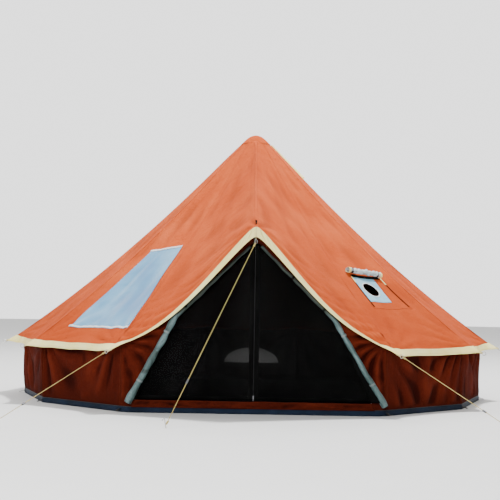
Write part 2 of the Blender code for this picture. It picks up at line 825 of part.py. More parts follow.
def guy_line(word, ring_centre, foot):
    away = Vector((foot.x - ring_centre.x, foot.y - ring_centre.y, 0)).normalized()
    down = (foot + Vector((0, 0, ROPE_END_HEIGHT)) - ring_centre).normalized()
    ring(f"guy_ring_{word}", ring_centre, away)
    start = ring_centre + down * (RING_RADIUS + RING_WIRE + ROPE_RADIUS)
    end = foot - away * PEG_RADIUS + Vector((0, 0, ROPE_END_HEIGHT))
    steps = 14
    tube(f"guy_rope_{word}", [blend(start, end, step / steps) for step in range(steps + 1)],
         ROPE_RADIUS, ROPE_YARN, sides=2)
    direction = (end - start).normalized()
    runner(f"rope_runner_{word}", end - direction * RUNNER_FROM_PEG, -direction)
    peg(f"peg_{word}", foot, away)


def make_guy_lines():
    guy_line("front", Vector(GABLE_RING), Vector(FRONT_PEG))
    for word, side in SIDES:
        corner = mirrored(polar(CORNER_RING[0], GABLE_ANGLE, CORNER_RING[1]), side)
        foot = mirrored(polar(CORNER_PEG_RADIUS, GABLE_ANGLE, 0), side)
        guy_line(word, corner, foot)


def main():
    make_groundsheet()
    make_walls()
    make_roof()
    make_valance()
    make_gable_trim()
    make_centre_pole()
    make_door_frame()
    make_mesh_doors()
    make_zip_slider()
    make_storm_doors()
    make_guy_lines()


main()
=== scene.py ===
"""Looks of the bell tent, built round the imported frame: canvas, hems, doors, ropes, fittings.

Metres, +Z up, the door faces -Y. The cloth follows the same surfaces as the CAD model, with
slack, folds and seams added. Round the roof, a place is given by its share, which counts guy
points from the right gable corner round the back, and by its radius.
"""
import math

import bmesh
import bpy
import numpy as np
from mathutils import Matrix, Vector


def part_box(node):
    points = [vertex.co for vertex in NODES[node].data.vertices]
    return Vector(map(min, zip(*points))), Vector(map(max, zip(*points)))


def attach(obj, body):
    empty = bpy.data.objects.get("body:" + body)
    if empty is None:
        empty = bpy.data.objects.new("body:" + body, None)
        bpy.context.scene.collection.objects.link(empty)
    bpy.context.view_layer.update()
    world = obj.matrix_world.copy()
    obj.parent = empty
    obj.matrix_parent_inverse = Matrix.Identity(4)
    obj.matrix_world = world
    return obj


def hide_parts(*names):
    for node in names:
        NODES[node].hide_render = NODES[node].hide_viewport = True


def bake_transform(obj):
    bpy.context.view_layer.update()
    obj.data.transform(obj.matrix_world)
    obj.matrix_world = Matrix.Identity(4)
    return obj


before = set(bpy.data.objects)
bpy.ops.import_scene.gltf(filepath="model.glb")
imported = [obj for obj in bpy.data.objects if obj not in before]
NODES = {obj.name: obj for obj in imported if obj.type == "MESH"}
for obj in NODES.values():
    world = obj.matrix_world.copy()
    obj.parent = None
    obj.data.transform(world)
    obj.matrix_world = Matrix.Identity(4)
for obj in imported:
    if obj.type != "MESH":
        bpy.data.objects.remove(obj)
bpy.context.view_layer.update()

# Plan of the tent, roof and gable
WALL_RADIUS = 2.50
GABLE_ANGLE = math.radians(29.7)
FACETS = 11
FACET_ANGLE = (2 * math.pi - 2 * GABLE_ANGLE) / FACETS
ROOF_TOP_RADIUS = 0.13
EAVE_RADIUS = 2.60
SEAM_TOP = 3.00
SEAM_SLOPE = 1.1126
SEAM_HOLLOW = 0.077
EAVE_SCALLOP = 0.04
EAVE_DROP = 0.02
HEM_RISE = 0.006
HEM_DROP = 0.061
HEM_OUT = 0.0025
HEM_REACH = 0.015
HEM_TIP = 0.09
GABLE_REACH = 2.52
GABLE_HEIGHT = 1.72
GABLE_WIDTH = 1.69
RIDGE_SAG = 0.03
RIDGE_ROUNDING = 0.045
SEAM_LIFT = 0.0016
SEAM_HALF = 0.011
GABLE_SAG = 0.15
ROOF_STRETCH = 1.33

# Wall, door and groundsheet
WALL_TOP = 0.685
WALL_TOP_GAP = 0.005
RIM_TOP = 0.05
DOOR_Y = -2.22
DOOR_LEAN = 0.07
DOOR_FOOT = (1.13, 0.05)
DOOR_KINK = (0.74, 0.90)
DOOR_APEX = (0.02, 1.60)
SILL_TOP = 0.118
MESH_BACK = 0.052
MESH_CORNERS = ((1.14, 0.125), (0.75, 0.90), (0.025, 1.585))

# Half-moon window in the back wall
WINDOW_Y = WALL_RADIUS * math.cos(FACET_ANGLE / 2)
WINDOW_HALF = 0.37
WINDOW_RISE = 0.21
WINDOW_BASE = 0.22

# Openings in the roof: first facet, then (share, radius) of each corner of the opening
SKYLIGHT = (10, ((0.27, 1.45), (0.89, 1.40), (0.20, 2.39), (0.98, 2.385)))
STOVE_PATCH = (0, ((0.215, 1.72), (0.59, 1.74), (0.215, 2.02), (0.55, 2.02)))
VENT = (2, ((0.38, 0.28), (0.62, 0.28), (0.30, 0.44), (0.70, 0.44)))
STOVE_HOLE = (0.385, 1.873)
STOVE_HOLE_RADIUS = 0.10

# Grid of the roof: columns to a panel, and the radii where rows are set with the rows between
COLUMNS = 24
GABLE_COLUMNS = 50
ROW_BREAKS = (0.13, 0.28, 0.44, 1.40, 1.72, 2.02, 2.385, 2.60)
ROWS_BETWEEN = (8, 8, 40, 16, 16, 22, 18)

# Storm doors' rolls: (x, z, distance out from the doorway) of foot, knee and top; the radii of
# foot and knee; and the shares of the length where they are tied
ROLL_FEET = {"left": (1.16, 0.095, 0.047), "right": (1.22, 0.095, 0.047)}
ROLL_KNEE = (0.735, 0.893, 0.036)
ROLL_TOP = (0.05, 1.555, 0.020)
ROLL_RADII = {"left": (0.035, 0.028), "right": (0.033, 0.024)}
ROLL_TIES = (0.13, 0.40, 0.56, 0.78)

# Guy lines: rings, pegs and ropes
ROPE_RADIUS = 0.003
RING_RADIUS = 0.018
RING_WIRE = 0.0025
CORNER_RING = (2.732, 0.566)
CORNER_PEG_RADIUS = 4.262
GABLE_RING = (0.0, -2.546, 1.588)
FRONT_PEG = (-0.722, -3.45, 0.0)
PEG_RADIUS = 0.0045
ROPE_END_HEIGHT = 0.03

# Sewing: length of a stitch, and how far its rows lie from the cloth's edge
STITCH = 0.007
STITCH_ROWS = (0.004, 0.014)

SIDES = (("left", -1), ("right", 1))
UP = Vector((0, 0, 1))


# ---------------------------------------------------------------- camera, light and floor

def make_camera():
    place = Vector((-0.085, -13.0, 1.072))
    yaw, pitch, roll = 0.003, 0.042, 0.017
    forward = Vector((math.sin(yaw) * math.cos(pitch), math.cos(yaw) * math.cos(pitch),
                      math.sin(pitch)))
    level = Vector((math.cos(yaw), -math.sin(yaw), 0))
    upright = level.cross(forward)
    right = level * math.cos(roll) + upright * math.sin(roll)
    up = upright * math.cos(roll) - level * math.sin(roll)
    data = bpy.data.cameras.new("camera")
    data.sensor_width = 36
    data.lens = 83.31
    data.clip_end = 100
    camera = bpy.data.objects.new("camera", data)
    camera.matrix_world = Matrix.Translation(place) @ Matrix(
        (right, up, -forward)).transposed().to_4x4()
    bpy.context.scene.collection.objects.link(camera)
    bpy.context.scene.camera = camera


def make_light(name, place, size, power, target=(0, 0, 1.0)):
    data = bpy.data.lights.new(name, "AREA")
    data.shape = "DISK"
    data.size = size
    data.energy = power
    light = bpy.data.objects.new(name, data)
    light.location = place
    light.rotation_euler = (Vector(target) - Vector(place)).to_track_quat("-Z", "Y").to_euler()
    bpy.context.scene.collection.objects.link(light)


def make_stage():
    world = bpy.data.worlds.new("studio")
    bpy.context.scene.world = world
    world.use_nodes = True
    nodes = world.node_tree.nodes
    sky = nodes["Background"]
    sky.inputs["Color"].default_value = (1.0, 1.0, 1.0, 1.0)
    place = nodes.new("ShaderNodeTexCoord")
    parts = nodes.new("ShaderNodeSeparateXYZ")
    glow = nodes.new("ShaderNodeMapRange")
    glow.interpolation_type = "SMOOTHSTEP"
    for socket, value in zip(("From Min", "From Max", "To Min", "To Max"), (-0.1, 0.6, 0.28, 2.2)):
        glow.inputs[socket].default_value = value
    links = world.node_tree.links
    links.new(place.outputs["Generated"], parts.inputs["Vector"])
    links.new(parts.outputs["Y"], glow.inputs["Value"])
    links.new(glow.outputs["Result"], sky.inputs["Strength"])
    for light in (("key", (2.2, 0.6, 14.0), 1.4, 2900), ("fill", (-11.0, -6.0, 6.0), 5.0, 350),
                  ("front", (-2.0, -14.0, 5.0), 3.0, 1350), ("back", (0.0, 9.0, 8.0), 6.0, 400)):
        make_light(*light)

    bm = bmesh.new()
    bmesh.ops.create_circle(bm, cap_ends=True, segments=96, radius=40)
    pale = Material("studio_floor", (0.80, 0.80, 0.79), roughness=0.9)
    pale.tint(pale.noise(2.0, 3.0), (0.78, 0.78, 0.77), (0.82, 0.82, 0.81))
    floor = bmesh_object("studio_floor", bm, pale.data)
    floor.location.z = -0.001


# ---------------------------------------------------------------- materials

class Material:
    """A Principled material whose colour and bump are built up node by node."""

    def __init__(self, name, colour, roughness, metallic=0.0, **sockets):
        self.data = bpy.data.materials.new(name)
        self.data.use_nodes = True
        self.data.diffuse_color = (*colour, 1)
        self.tree = self.data.node_tree
        self.shader = self.tree.nodes["Principled BSDF"]
        self.shader.inputs["Base Color"].default_value = (*colour, 1)
        self.shader.inputs["Roughness"].default_value = roughness
        self.shader.inputs["Metallic"].default_value = metallic
        for socket, value in sockets.items():
            self.shader.inputs[socket.replace("_", " ")].default_value = value
        self.colour = None
        self.height = None
        self.place = self.tree.nodes.new("ShaderNodeTexCoord").outputs["Object"]

    def add(self, kind, inputs=None, **settings):
        node = self.tree.nodes.new(kind)
        for setting, value in settings.items():
            setattr(node, setting, value)
        if "Vector" in node.inputs and node.bl_idname.startswith("ShaderNodeTex"):
            self.tree.links.new(self.place, node.inputs["Vector"])
        for socket, value in (inputs or {}).items():
            self.put(value, node.inputs[socket])
        return node

    def put(self, value, socket):
        if isinstance(value, bpy.types.NodeSocket):
            self.tree.links.new(value, socket)
        else:
            socket.default_value = value

    def noise(self, scale, detail, roughness=None, distortion=None, place=None):
        inputs = {"Vector": place, "Scale": scale, "Detail": detail, "Roughness": roughness,
                  "Distortion": distortion}
        given = {socket: value for socket, value in inputs.items() if value is not None}
        return self.add("ShaderNodeTexNoise", given).outputs["Fac"]

    def attribute(self, name):
        return self.add("ShaderNodeAttribute", attribute_name=name).outputs["Fac"]

    def level(self):
        """Height above the ground."""
        return self.add("ShaderNodeSeparateXYZ", {"Vector": self.place}).outputs["Z"]

    def maths(self, operation, first, second=0.0, third=0.0):
        node = self.tree.nodes.new("ShaderNodeMath")
        node.operation = operation
        for value, socket in zip((first, second, third), node.inputs):
            self.put(value, socket)
        return node.outputs["Value"]

    def ramp(self, value, low, high, rise=1.0):
        """0 below low, rise above high, and a smooth climb between them."""
        node = self.add("ShaderNodeMapRange", {"Value": value, "From Min": low, "From Max": high,
                                               "To Min": 0.0, "To Max": rise},
                        interpolation_type="SMOOTHSTEP")
        return node.outputs["Result"]

    def tint(self, share, *colours):
        """Colours spread evenly over a share from 0 to 1."""
        node = self.add("ShaderNodeValToRGB", {"Fac": share})
        while len(node.color_ramp.elements) < len(colours):
            node.color_ramp.elements.new(0.5)
        for index, colour in enumerate(colours):
            node.color_ramp.elements[index].position = index / (len(colours) - 1)
            node.color_ramp.elements[index].color = (*colour, 1)
        self.paint(node.outputs["Color"])

    def paint(self, colour):
        self.colour = colour
        self.put(colour, self.shader.inputs["Base Color"])

    def over(self, share, colour):
        """Lay another colour over the present one by a share."""
        node = self.add("ShaderNodeMix", data_type="RGBA")
        self.put(share, node.inputs[0])
        self.put(self.colour, node.inputs[6])
        self.put((*colour, 1) if len(colour) == 3 else colour, node.inputs[7])
        self.paint(node.outputs[2])

    def bump(self, height, distance, strength=1.0):
        """Add relief of this depth, in metres, to what is there already."""
        node = self.add("ShaderNodeBump", {"Strength": strength, "Distance": distance,
                                           "Height": height})
        if self.height:
            self.tree.links.new(self.height, node.inputs["Normal"])
        self.height = node.outputs["Normal"]
        self.tree.links.new(self.height, self.shader.inputs["Normal"])

    def weave(self, pitch, depth):
        """Plain weave: threads over and under each other at this pitch on the flat cloth."""
        flat = self.add("ShaderNodeUVMap", uv_map="cloth").outputs["UV"]
        threads = []
        for direction in ("X", "Y"):
            wave = self.add("ShaderNodeTexWave", {"Scale": 0.314 / pitch, "Distortion": 0.6,
                                                  "Detail": 1.0}, bands_direction=direction)
            self.tree.links.new(flat, wave.inputs["Vector"])
            threads.append(wave.outputs["Fac"])
        self.bump(self.maths("MULTIPLY_ADD", threads[0], 0.5, threads[1]), depth)

    def stitches(self, colour):
        """Two dashed sewing lines beside each seam and hem."""
        edge = self.attribute("edge")
        run = self.attribute("run")
        dash = self.maths("LESS_THAN", self.maths("PINGPONG", run, STITCH / 2), STITCH * 0.34)
        near, far = (self.maths("COMPARE", edge, row, 0.0009) for row in STITCH_ROWS)
        lines = self.maths("MAXIMUM", near, far)
        thread = self.maths("MULTIPLY", lines, dash)
        self.over(thread, colour)
        self.bump(thread, 0.0006)
        groove = self.maths("SUBTRACT", 1.0, lines)
        self.bump(groove, 0.0005)


def mottled(material, tones, scale=2.2):
    """Uneven tone of worn cloth: broad clouds stretched down the cloth, and fine flecks."""
    stretched = material.add("ShaderNodeMapping", {"Vector": material.place,
                                                   "Scale": (1.0, 1.0, 0.45)})
    broad = material.noise(scale, 5.0, 0.6, place=stretched.outputs["Vector"])
    fine = material.noise(scale * 28, 4.0, 0.65)
    share = material.maths("MULTIPLY_ADD", fine, 0.35, material.maths("MULTIPLY", broad, 0.75))
    material.tint(material.ramp(share, 0.34, 0.78), *tones)


def paint_fold_shade(material, depth, low, high, rise, tone):
    """Painted shade: a darker tone where the cloth goes in by more than low, in full beyond high.
    """
    material.over(material.ramp(material.maths("MULTIPLY", depth, -1.0), low, high, rise), tone)


def canvas_material(name, tones, lower_tone, darker_below, hollow, ridge, deep, stitch):
    """Cotton canvas, darker below the given heights, with painted shade in its folds and a painted
    highlight on their ridges.

    deep is how far a fold goes in, in metres, where it is darkest.
    """
    canvas = Material(name, tones[1], roughness=0.88, Specular_IOR_Level=0.03)
    mottled(canvas, tones)
    height = canvas.level()
    # Darker tone lower down, below the given heights, broken up by noise
    low = canvas.maths("MULTIPLY_ADD", canvas.noise(9.0, 6.0), 0.35, height)
    canvas.over(canvas.maths("SUBTRACT", 0.55, canvas.ramp(low, *darker_below, 0.55)), lower_tone)
    depth = canvas.attribute("fold")
    # Painted shade in the fold hollows, then a painted highlight on the fold ridges
    paint_fold_shade(canvas, depth, 0.0, deep, 0.7, hollow)
    canvas.over(canvas.ramp(depth, 0.2 * deep, 1.6 * deep, 0.5), ridge)
    canvas.bump(canvas.noise(7.0, 5.0, 0.55, 0.8), 0.030, 0.6)
    folds = canvas.add("ShaderNodeTexVoronoi", {"Scale": 2.3, "Randomness": 1.0},
                       feature="DISTANCE_TO_EDGE")
    canvas.bump(canvas.ramp(folds.outputs["Distance"], 0.0, 0.035), 0.0012, 0.5)
    canvas.weave(0.0016, 0.0004)
    canvas.stitches(stitch)
    return canvas.data


def plain_cloth(name, tones, roughness, pitch, stitch=None, creases=0.006, shade=None,
                hollow=None, **sockets):
    """Cloth with a weave and soft creases.

    shade is painted shade: a darker tone it turns to between two heights. hollow is painted shade
    in the folds.
    """
    cloth = Material(name, tones[1], roughness=roughness, **sockets)
    mottled(cloth, tones, scale=5.0)
    if shade:
        low, high, tone = shade
        cloth.over(cloth.ramp(cloth.level(), low, high), tone)
    if hollow:
        paint_fold_shade(cloth, cloth.attribute("fold"), 0.0006, 0.0050, 0.75, hollow)
    cloth.bump(cloth.noise(22.0, 5.0, distortion=0.6), creases, 0.4)
    cloth.weave(pitch, pitch * 0.25)
    if stitch:
        cloth.stitches(stitch)
    return cloth.data


def metal(name, colour, roughness, scratches=60.0):
    steel = Material(name, colour, roughness=roughness, metallic=1.0)
    spangle = steel.add("ShaderNodeTexVoronoi", {"Scale": scratches})
    wear = steel.noise(scratches * 3, 6.0)
    share = steel.maths("MULTIPLY_ADD", spangle.outputs["Distance"], 0.5, wear)
    dark = tuple(part * 0.72 for part in colour)
    steel.tint(steel.ramp(share, 0.35, 0.95), dark, colour)
    rough = steel.maths("ADD", steel.ramp(wear, 0.3, 0.75, 0.25), roughness)
    steel.put(rough, steel.shader.inputs["Roughness"])
    steel.bump(wear, 0.0004, 0.4)
    return steel.data


def rubber(name, colour):
    skin = Material(name, colour, roughness=0.7, Specular_IOR_Level=0.15)
    grain = skin.noise(180.0, 4.0)
    light = tuple(part * 1.8 + 0.004 for part in colour)
    skin.tint(skin.ramp(grain, 0.3, 0.75), colour, light)
    skin.bump(grain, 0.0006, 0.5)
    return skin.data


# Tones of each cloth, from dark to light
BLACK = ((0.0015, 0.0015, 0.0015), (0.003, 0.003, 0.003), (0.006, 0.006, 0.006))
ROOF = ((0.50, 0.080, 0.019), (0.57, 0.102, 0.027), (0.63, 0.130, 0.038))
# Painted shade: the walls' tones are a darker copy of the roof canvas, for the shade under the
# eave
WALL = ((0.046, 0.0056, 0.0026), (0.070, 0.0088, 0.0038), (0.102, 0.014, 0.0055))
CREAM = ((0.90, 0.76, 0.27), (0.96, 0.85, 0.36), (0.98, 0.90, 0.46))
# Silver-green lining with its tones darkened further: painted shade for the shade the rolled doors
# hang in
LINING = ((0.030, 0.058, 0.056), (0.060, 0.105, 0.105), (0.15, 0.23, 0.24))
STRAP = ((0.010, 0.010, 0.011), (0.018, 0.018, 0.019), (0.030, 0.030, 0.031))
CREAM_STRAP = ((0.60, 0.50, 0.26), (0.70, 0.62, 0.36), (0.80, 0.73, 0.48))
NAVY = ((0.004, 0.009, 0.020), (0.007, 0.015, 0.034), (0.012, 0.024, 0.050))
HEAT = ((0.16, 0.43, 0.62), (0.23, 0.52, 0.70), (0.34, 0.62, 0.77))
SILVER = ((0.30, 0.38, 0.40), (0.48, 0.56, 0.58), (0.72, 0.78, 0.80))
WHITE = ((0.70, 0.74, 0.76), (0.80, 0.84, 0.86), (0.88, 0.91, 0.92))
GREY = ((0.10, 0.13, 0.13), (0.15, 0.19, 0.19), (0.22, 0.26, 0.26))


def make_materials():
    return {
        # hollow and ridge are the roof's painted shade in its folds and painted highlight on their
        # ridges
        "roof": canvas_material(
            "canvas_roof", ROOF, lower_tone=(0.40, 0.052, 0.010), darker_below=(0.95, 1.75), deep=0.016,
            hollow=(0.36, 0.055, 0.014), ridge=(0.66, 0.150, 0.048), stitch=(0.40, 0.07, 0.025)),
        # Painted shade: the walls' canvas is a shaded copy of the roof's; hollow and ridge are
        # painted shade in its folds and painted highlight on their ridges
        "wall": canvas_material(
            "canvas_wall_shaded", WALL, lower_tone=(0.042, 0.0060, 0.0026), darker_below=(0.20, 0.42), deep=0.018,
            hollow=(0.010, 0.0013, 0.0008), ridge=(0.135, 0.0190, 0.0080),
            stitch=(0.10, 0.018, 0.008)),
        # hollow is painted shade in the trim's folds
        "trim": plain_cloth(
            "trim_cream", CREAM, 0.8, 0.0014, stitch=(0.70, 0.55, 0.22),
            hollow=(0.50, 0.38, 0.10), Specular_IOR_Level=0.2),
        # shade is painted shade on the rolls above the knee, under the trim; hollow is painted
        # shade in their crevices
        "lining": plain_cloth(
            "lining_silver", LINING, 0.42, 0.0012, creases=0.012, hollow=(0.010, 0.020, 0.017),
            shade=(0.84, 0.97, (0.020, 0.030, 0.024)), Specular_IOR_Level=0.35),
        "mesh": mesh_material("insect_mesh", 0.70),
        "tape": plain_cloth("zip_tape", BLACK, 0.95, 0.0010, Specular_IOR_Level=0.03),
        "webbing": plain_cloth("webbing_black", STRAP, 0.65, 0.0022),
        "webbing_cream": plain_cloth("webbing_cream", CREAM_STRAP, 0.7, 0.0022),
        "pvc": plain_cloth("groundsheet_navy", NAVY, 0.6, 0.0030, creases=0.004,
                           Specular_IOR_Level=0.12),
        "heat": plain_cloth("heat_cloth", HEAT, 0.5, 0.0026, stitch=(0.30, 0.34, 0.36),
                            creases=0.003),
        # hollow is painted shade in the crevices of the rolled flap
        "silver": plain_cloth("flap_silver", SILVER, 0.32, 0.0012, creases=0.010,
                              hollow=(0.010, 0.018, 0.016)),
        "film": film_material(),
        "white": plain_cloth("binding_white", WHITE, 0.5, 0.0016),
        "tie": plain_cloth("tie_grey", GREY, 0.6, 0.0020),
        "net": mesh_material("window_net", 0.55),
        "steel": metal("steel_tube", (0.56, 0.57, 0.58), 0.30),
        "zinc": metal("zinc_plate", (0.62, 0.62, 0.61), 0.28, scratches=260.0),
        "alloy": metal("dark_alloy", (0.16, 0.16, 0.17), 0.38, scratches=220.0),
        "rubber": rubber("rubber_black", (0.010, 0.010, 0.011)),
        "rope": rope_material()}


def mesh_material(name, cover):
    """Black net; cover is the share of it that is thread."""
    net = Material(name, (0.004, 0.004, 0.004), roughness=0.9, Alpha=cover,
                   Specular_IOR_Level=0.05)
    mottled(net, BLACK, scale=3.0)
    net.weave(0.0018, 0.0005)
    return net.data


def film_material():
    film = Material("clear_film", (0.26, 0.45, 0.60), roughness=0.22, Alpha=0.94,
                    Specular_IOR_Level=0.4, Coat_Weight=0.1)
    film.tint(film.ramp(film.noise(1.6, 4.0), 0.30, 0.72), (0.07, 0.22, 0.43),
              (0.10, 0.31, 0.52), (0.19, 0.42, 0.63))
    film.bump(film.noise(90.0, 5.0), 0.0012, 0.35)
    film.bump(film.noise(6.0, 3.0, distortion=1.2), 0.004, 0.35)
    return film.data


def rope_material():
    yarn = Material("rope_yellow", (0.60, 0.40, 0.08), roughness=0.7, Sheen_Weight=0.2)
    fleck = yarn.noise(320.0, 3.0)
    yarn.tint(yarn.ramp(fleck, 0.3, 0.7), (0.30, 0.21, 0.035), (0.45, 0.34, 0.08),
              (0.60, 0.49, 0.18))
    yarn.bump(fleck, 0.0008, 0.6)
    return yarn.data


# ---------------------------------------------------------------- mesh helpers

def link(obj, body="root"):
    """Put a piece in the scene on a body."""
    bpy.context.scene.collection.objects.link(obj)
    if body:
        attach(obj, body)
    return obj


def bmesh_object(name, bm, material=None):
    mesh = bpy.data.meshes.new(name)
    bm.to_mesh(mesh)
    bm.free()
    if material:
        mesh.materials.append(material)
    obj = bpy.data.objects.new(name, mesh)
    bpy.context.scene.collection.objects.link(obj)
    return obj


def apply_modifiers(obj):
    bpy.context.view_layer.update()
    graph = bpy.context.evaluated_depsgraph_get()
    finished = bpy.data.meshes.new_from_object(obj.evaluated_get(graph))
    obj.modifiers.clear()
    obj.data = finished


def unit(vectors):
    return vectors / np.linalg.norm(vectors, axis=-1, keepdims=True)


def lengths(points, axis):
    """Running length along one axis of a grid of points, starting at 0."""
    steps = np.linalg.norm(np.diff(points, axis=axis), axis=-1)
    total = np.cumsum(steps, axis=axis)
    return np.concatenate([np.zeros_like(np.take(total, [0], axis=axis)), total], axis=axis)


def grid_piece(name, points, key, slot=None, thickness=0.0015, body="root", edge=None,
               folds=0.0, loop=False, hole=None):
    """A sheet from rows x columns of points.

    edge holds each point's distance from a seam, and folds how far it stands out.
    """
    rows, columns = points.shape[:2]
    numbers = np.arange(rows * columns).reshape(rows, columns)
    flat = np.stack([lengths(points, 1), lengths(points, 0)], axis=-1)
    corners = np.stack([numbers[:-1, :-1], numbers[:-1, 1:], numbers[1:, 1:], numbers[1:, :-1]],
                       axis=-1)
    if hole is not None:
        corners = corners[~hole]
    corners = corners.reshape(-1, 4)
    cloth = flat.reshape(-1, 2)[corners]
    if loop:
        joined = numbers.copy()
        joined[:, -1] = joined[:, 0]
        corners = joined.reshape(-1)[corners]
    used, faces = np.unique(corners, return_inverse=True)
    mesh = bpy.data.meshes.new(name)
    mesh.from_pydata(points.reshape(-1, 3)[used].tolist(), [], faces.reshape(-1, 4).tolist())
    mesh.uv_layers.new(name="cloth").uv.foreach_set("vector", cloth.reshape(-1))
    if edge is None:
        margins = [flat[..., 0], flat[:, -1:, 0] - flat[..., 0],
                   flat[..., 1], flat[-1:, :, 1] - flat[..., 1]]
        edge = np.minimum.reduce(margins)
    run = flat[..., 0] + flat[..., 1]
    folds = np.broadcast_to(folds, (rows, columns))
    # fold, how far the cloth stands out, is also the mask of the painted shade and highlight in
    # the materials
    for word, values in (("edge", edge), ("run", run), ("fold", folds)):
        attribute = mesh.attributes.new(word, "FLOAT", "POINT")
        attribute.data.foreach_set("value", values.reshape(-1)[used].astype(np.float32))
    mesh.shade_smooth()
    mesh.materials.append(MATS[key])
    obj = bpy.data.objects.new(name, mesh)
    thick = obj.modifiers.new("thickness", "SOLIDIFY")
    thick.thickness = thickness
    thick.offset = 0
    return link(obj, body)


def cloth(name, points, key, nodes, held, rests_on, slanted=False, **settings):
    """A sheet of cloth that stands in for CAD nodes."""
    piece = grid_piece(name, points, key, **settings)
    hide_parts(*nodes)
    return piece


def waves(x, y, seed):
    """Smooth uneven values from about -1 to 1."""
    total = 0
    for index in range(5):
        angle = seed * 1.7 + index * 2.4
        pitch = 1 + 0.45 * index
        total = total + np.sin(pitch * (x * math.cos(angle) + y * math.sin(angle))
                               + seed * (index + 1) * 3.1)
    return total / 3


def fold(phase):
    """Cross-section of a cloth fold: a narrow ridge and a wide hollow."""
    return 2 * np.abs(np.cos(phase / 2)) ** 1.6 - 1


def rays(turn, reach, depth, count, uneven, rise):
    """Folds that fan out from a point, count of them in 2 pi of turn, full beyond the rise."""
    return depth * fold(count * turn + uneven) * fade(reach, *rise)


def fade(value, low, high):
    """0 at low, 1 at high, and a smooth change between them."""
    share = np.clip((value - low) / (high - low), 0, 1)
    return share * share * (3 - 2 * share)


def arch(share):
    """0 at shares 0 and 1, and 1 in the middle."""
    return 4 * share * (1 - share)


def span(count, low=0.0, high=1.0):
    """Even values that cut low to high into count steps."""
    return np.linspace(low, high, count + 1)


def grid(columns, rows):
    """Shares across and down a sheet, as two arrays."""
    return np.meshgrid(span(columns), span(rows))


# ---------------------------------------------------------------- canvas surfaces

def xyz(*parts):
    return np.stack(np.broadcast_arrays(*parts), axis=-1)


def seam_height(radius):
    top = 0.028 * np.exp(-(radius / 0.22) ** 2)
    return SEAM_TOP - SEAM_SLOPE * radius + SEAM_HOLLOW * radius ** 2 - top


def roof_along(radius):
    """0 at the roof's top and 1 at the eave."""
    return (radius - ROOF_TOP_RADIUS) / (EAVE_RADIUS - ROOF_TOP_RADIUS)


def panel_width(radius):
    """Straight distance between two seams at a radius."""
    return 2 * radius * math.sin(FACET_ANGLE / 2)


def outward(angle):
    """Level direction from the pole, by its angle from the door's."""
    return Vector((math.sin(angle), -math.cos(angle), 0))


def panel_plan(share, radius):
    """Plan of the straight panel between two seams, and the share from its first seam."""
    facet = np.clip(np.floor(share), 0, FACETS - 1)
    rest = share - facet
    first = GABLE_ANGLE + facet * FACET_ANGLE
    second = first + FACET_ANGLE
    x = radius * ((1 - rest) * np.sin(first) + rest * np.sin(second))
    y = -radius * ((1 - rest) * np.cos(first) + rest * np.cos(second))
    return rest, x, y


def facet_surface(share, radius):
    """Flat panels between the seams, slack at the eave."""
    rest, x, y = panel_plan(share, radius)
    slack = arch(rest) * roof_along(radius) ** 6
    inward = 1 - EAVE_SCALLOP * slack / np.hypot(x, y)
    return xyz(x * inward, y * inward, seam_height(radius) - EAVE_DROP * slack)


def gable_surface(side, across, radius):
    """Panel from the ridge, across 0, to the first seam, across 1."""
    along = roof_along(radius)
    top = seam_height(ROOF_TOP_RADIUS)
    ridge_y = -ROOF_TOP_RADIUS + along * (ROOF_TOP_RADIUS - GABLE_REACH)
    ridge_z = top + along * (GABLE_HEIGHT - top) - RIDGE_SAG * np.sin(math.pi * along)
    seam_x = radius * math.sin(GABLE_ANGLE)
    seam_y = -radius * math.cos(GABLE_ANGLE)
    sag = GABLE_SAG * np.sin(math.pi * np.clip(across, 0, 1) ** 1.3) * np.clip(along, 0, 1) ** 3
    slope = (ridge_z - seam_height(radius)) / seam_x
    bend = RIDGE_ROUNDING * np.clip(along, 0, 1) ** 6
    rounding = slope * (np.hypot(across * seam_x, bend) - np.abs(across) * seam_x)
    rounding = rounding - slope * bend * (1 - np.clip(across, 0, 1)) ** 2
    return xyz(side * across * seam_x, ridge_y + across * (seam_y - ridge_y),
               ridge_z + across * (seam_height(radius) - ridge_z) - sag - rounding)


def bare_canvas(share, radius):
    """Roof surface with no folds. Shares -1 to 0 and 11 to 12 are the panels by the ridge."""
    share, radius = np.broadcast_arrays(share, radius)
    facets = facet_surface(np.clip(share, 0, FACETS), radius)
    right = gable_surface(1, 1 + share, radius)
    left = gable_surface(-1, FACETS + 1 - share, radius)
    facets = np.where((share < 0)[..., None], right, facets)
    return np.where((share > FACETS)[..., None], left, facets)


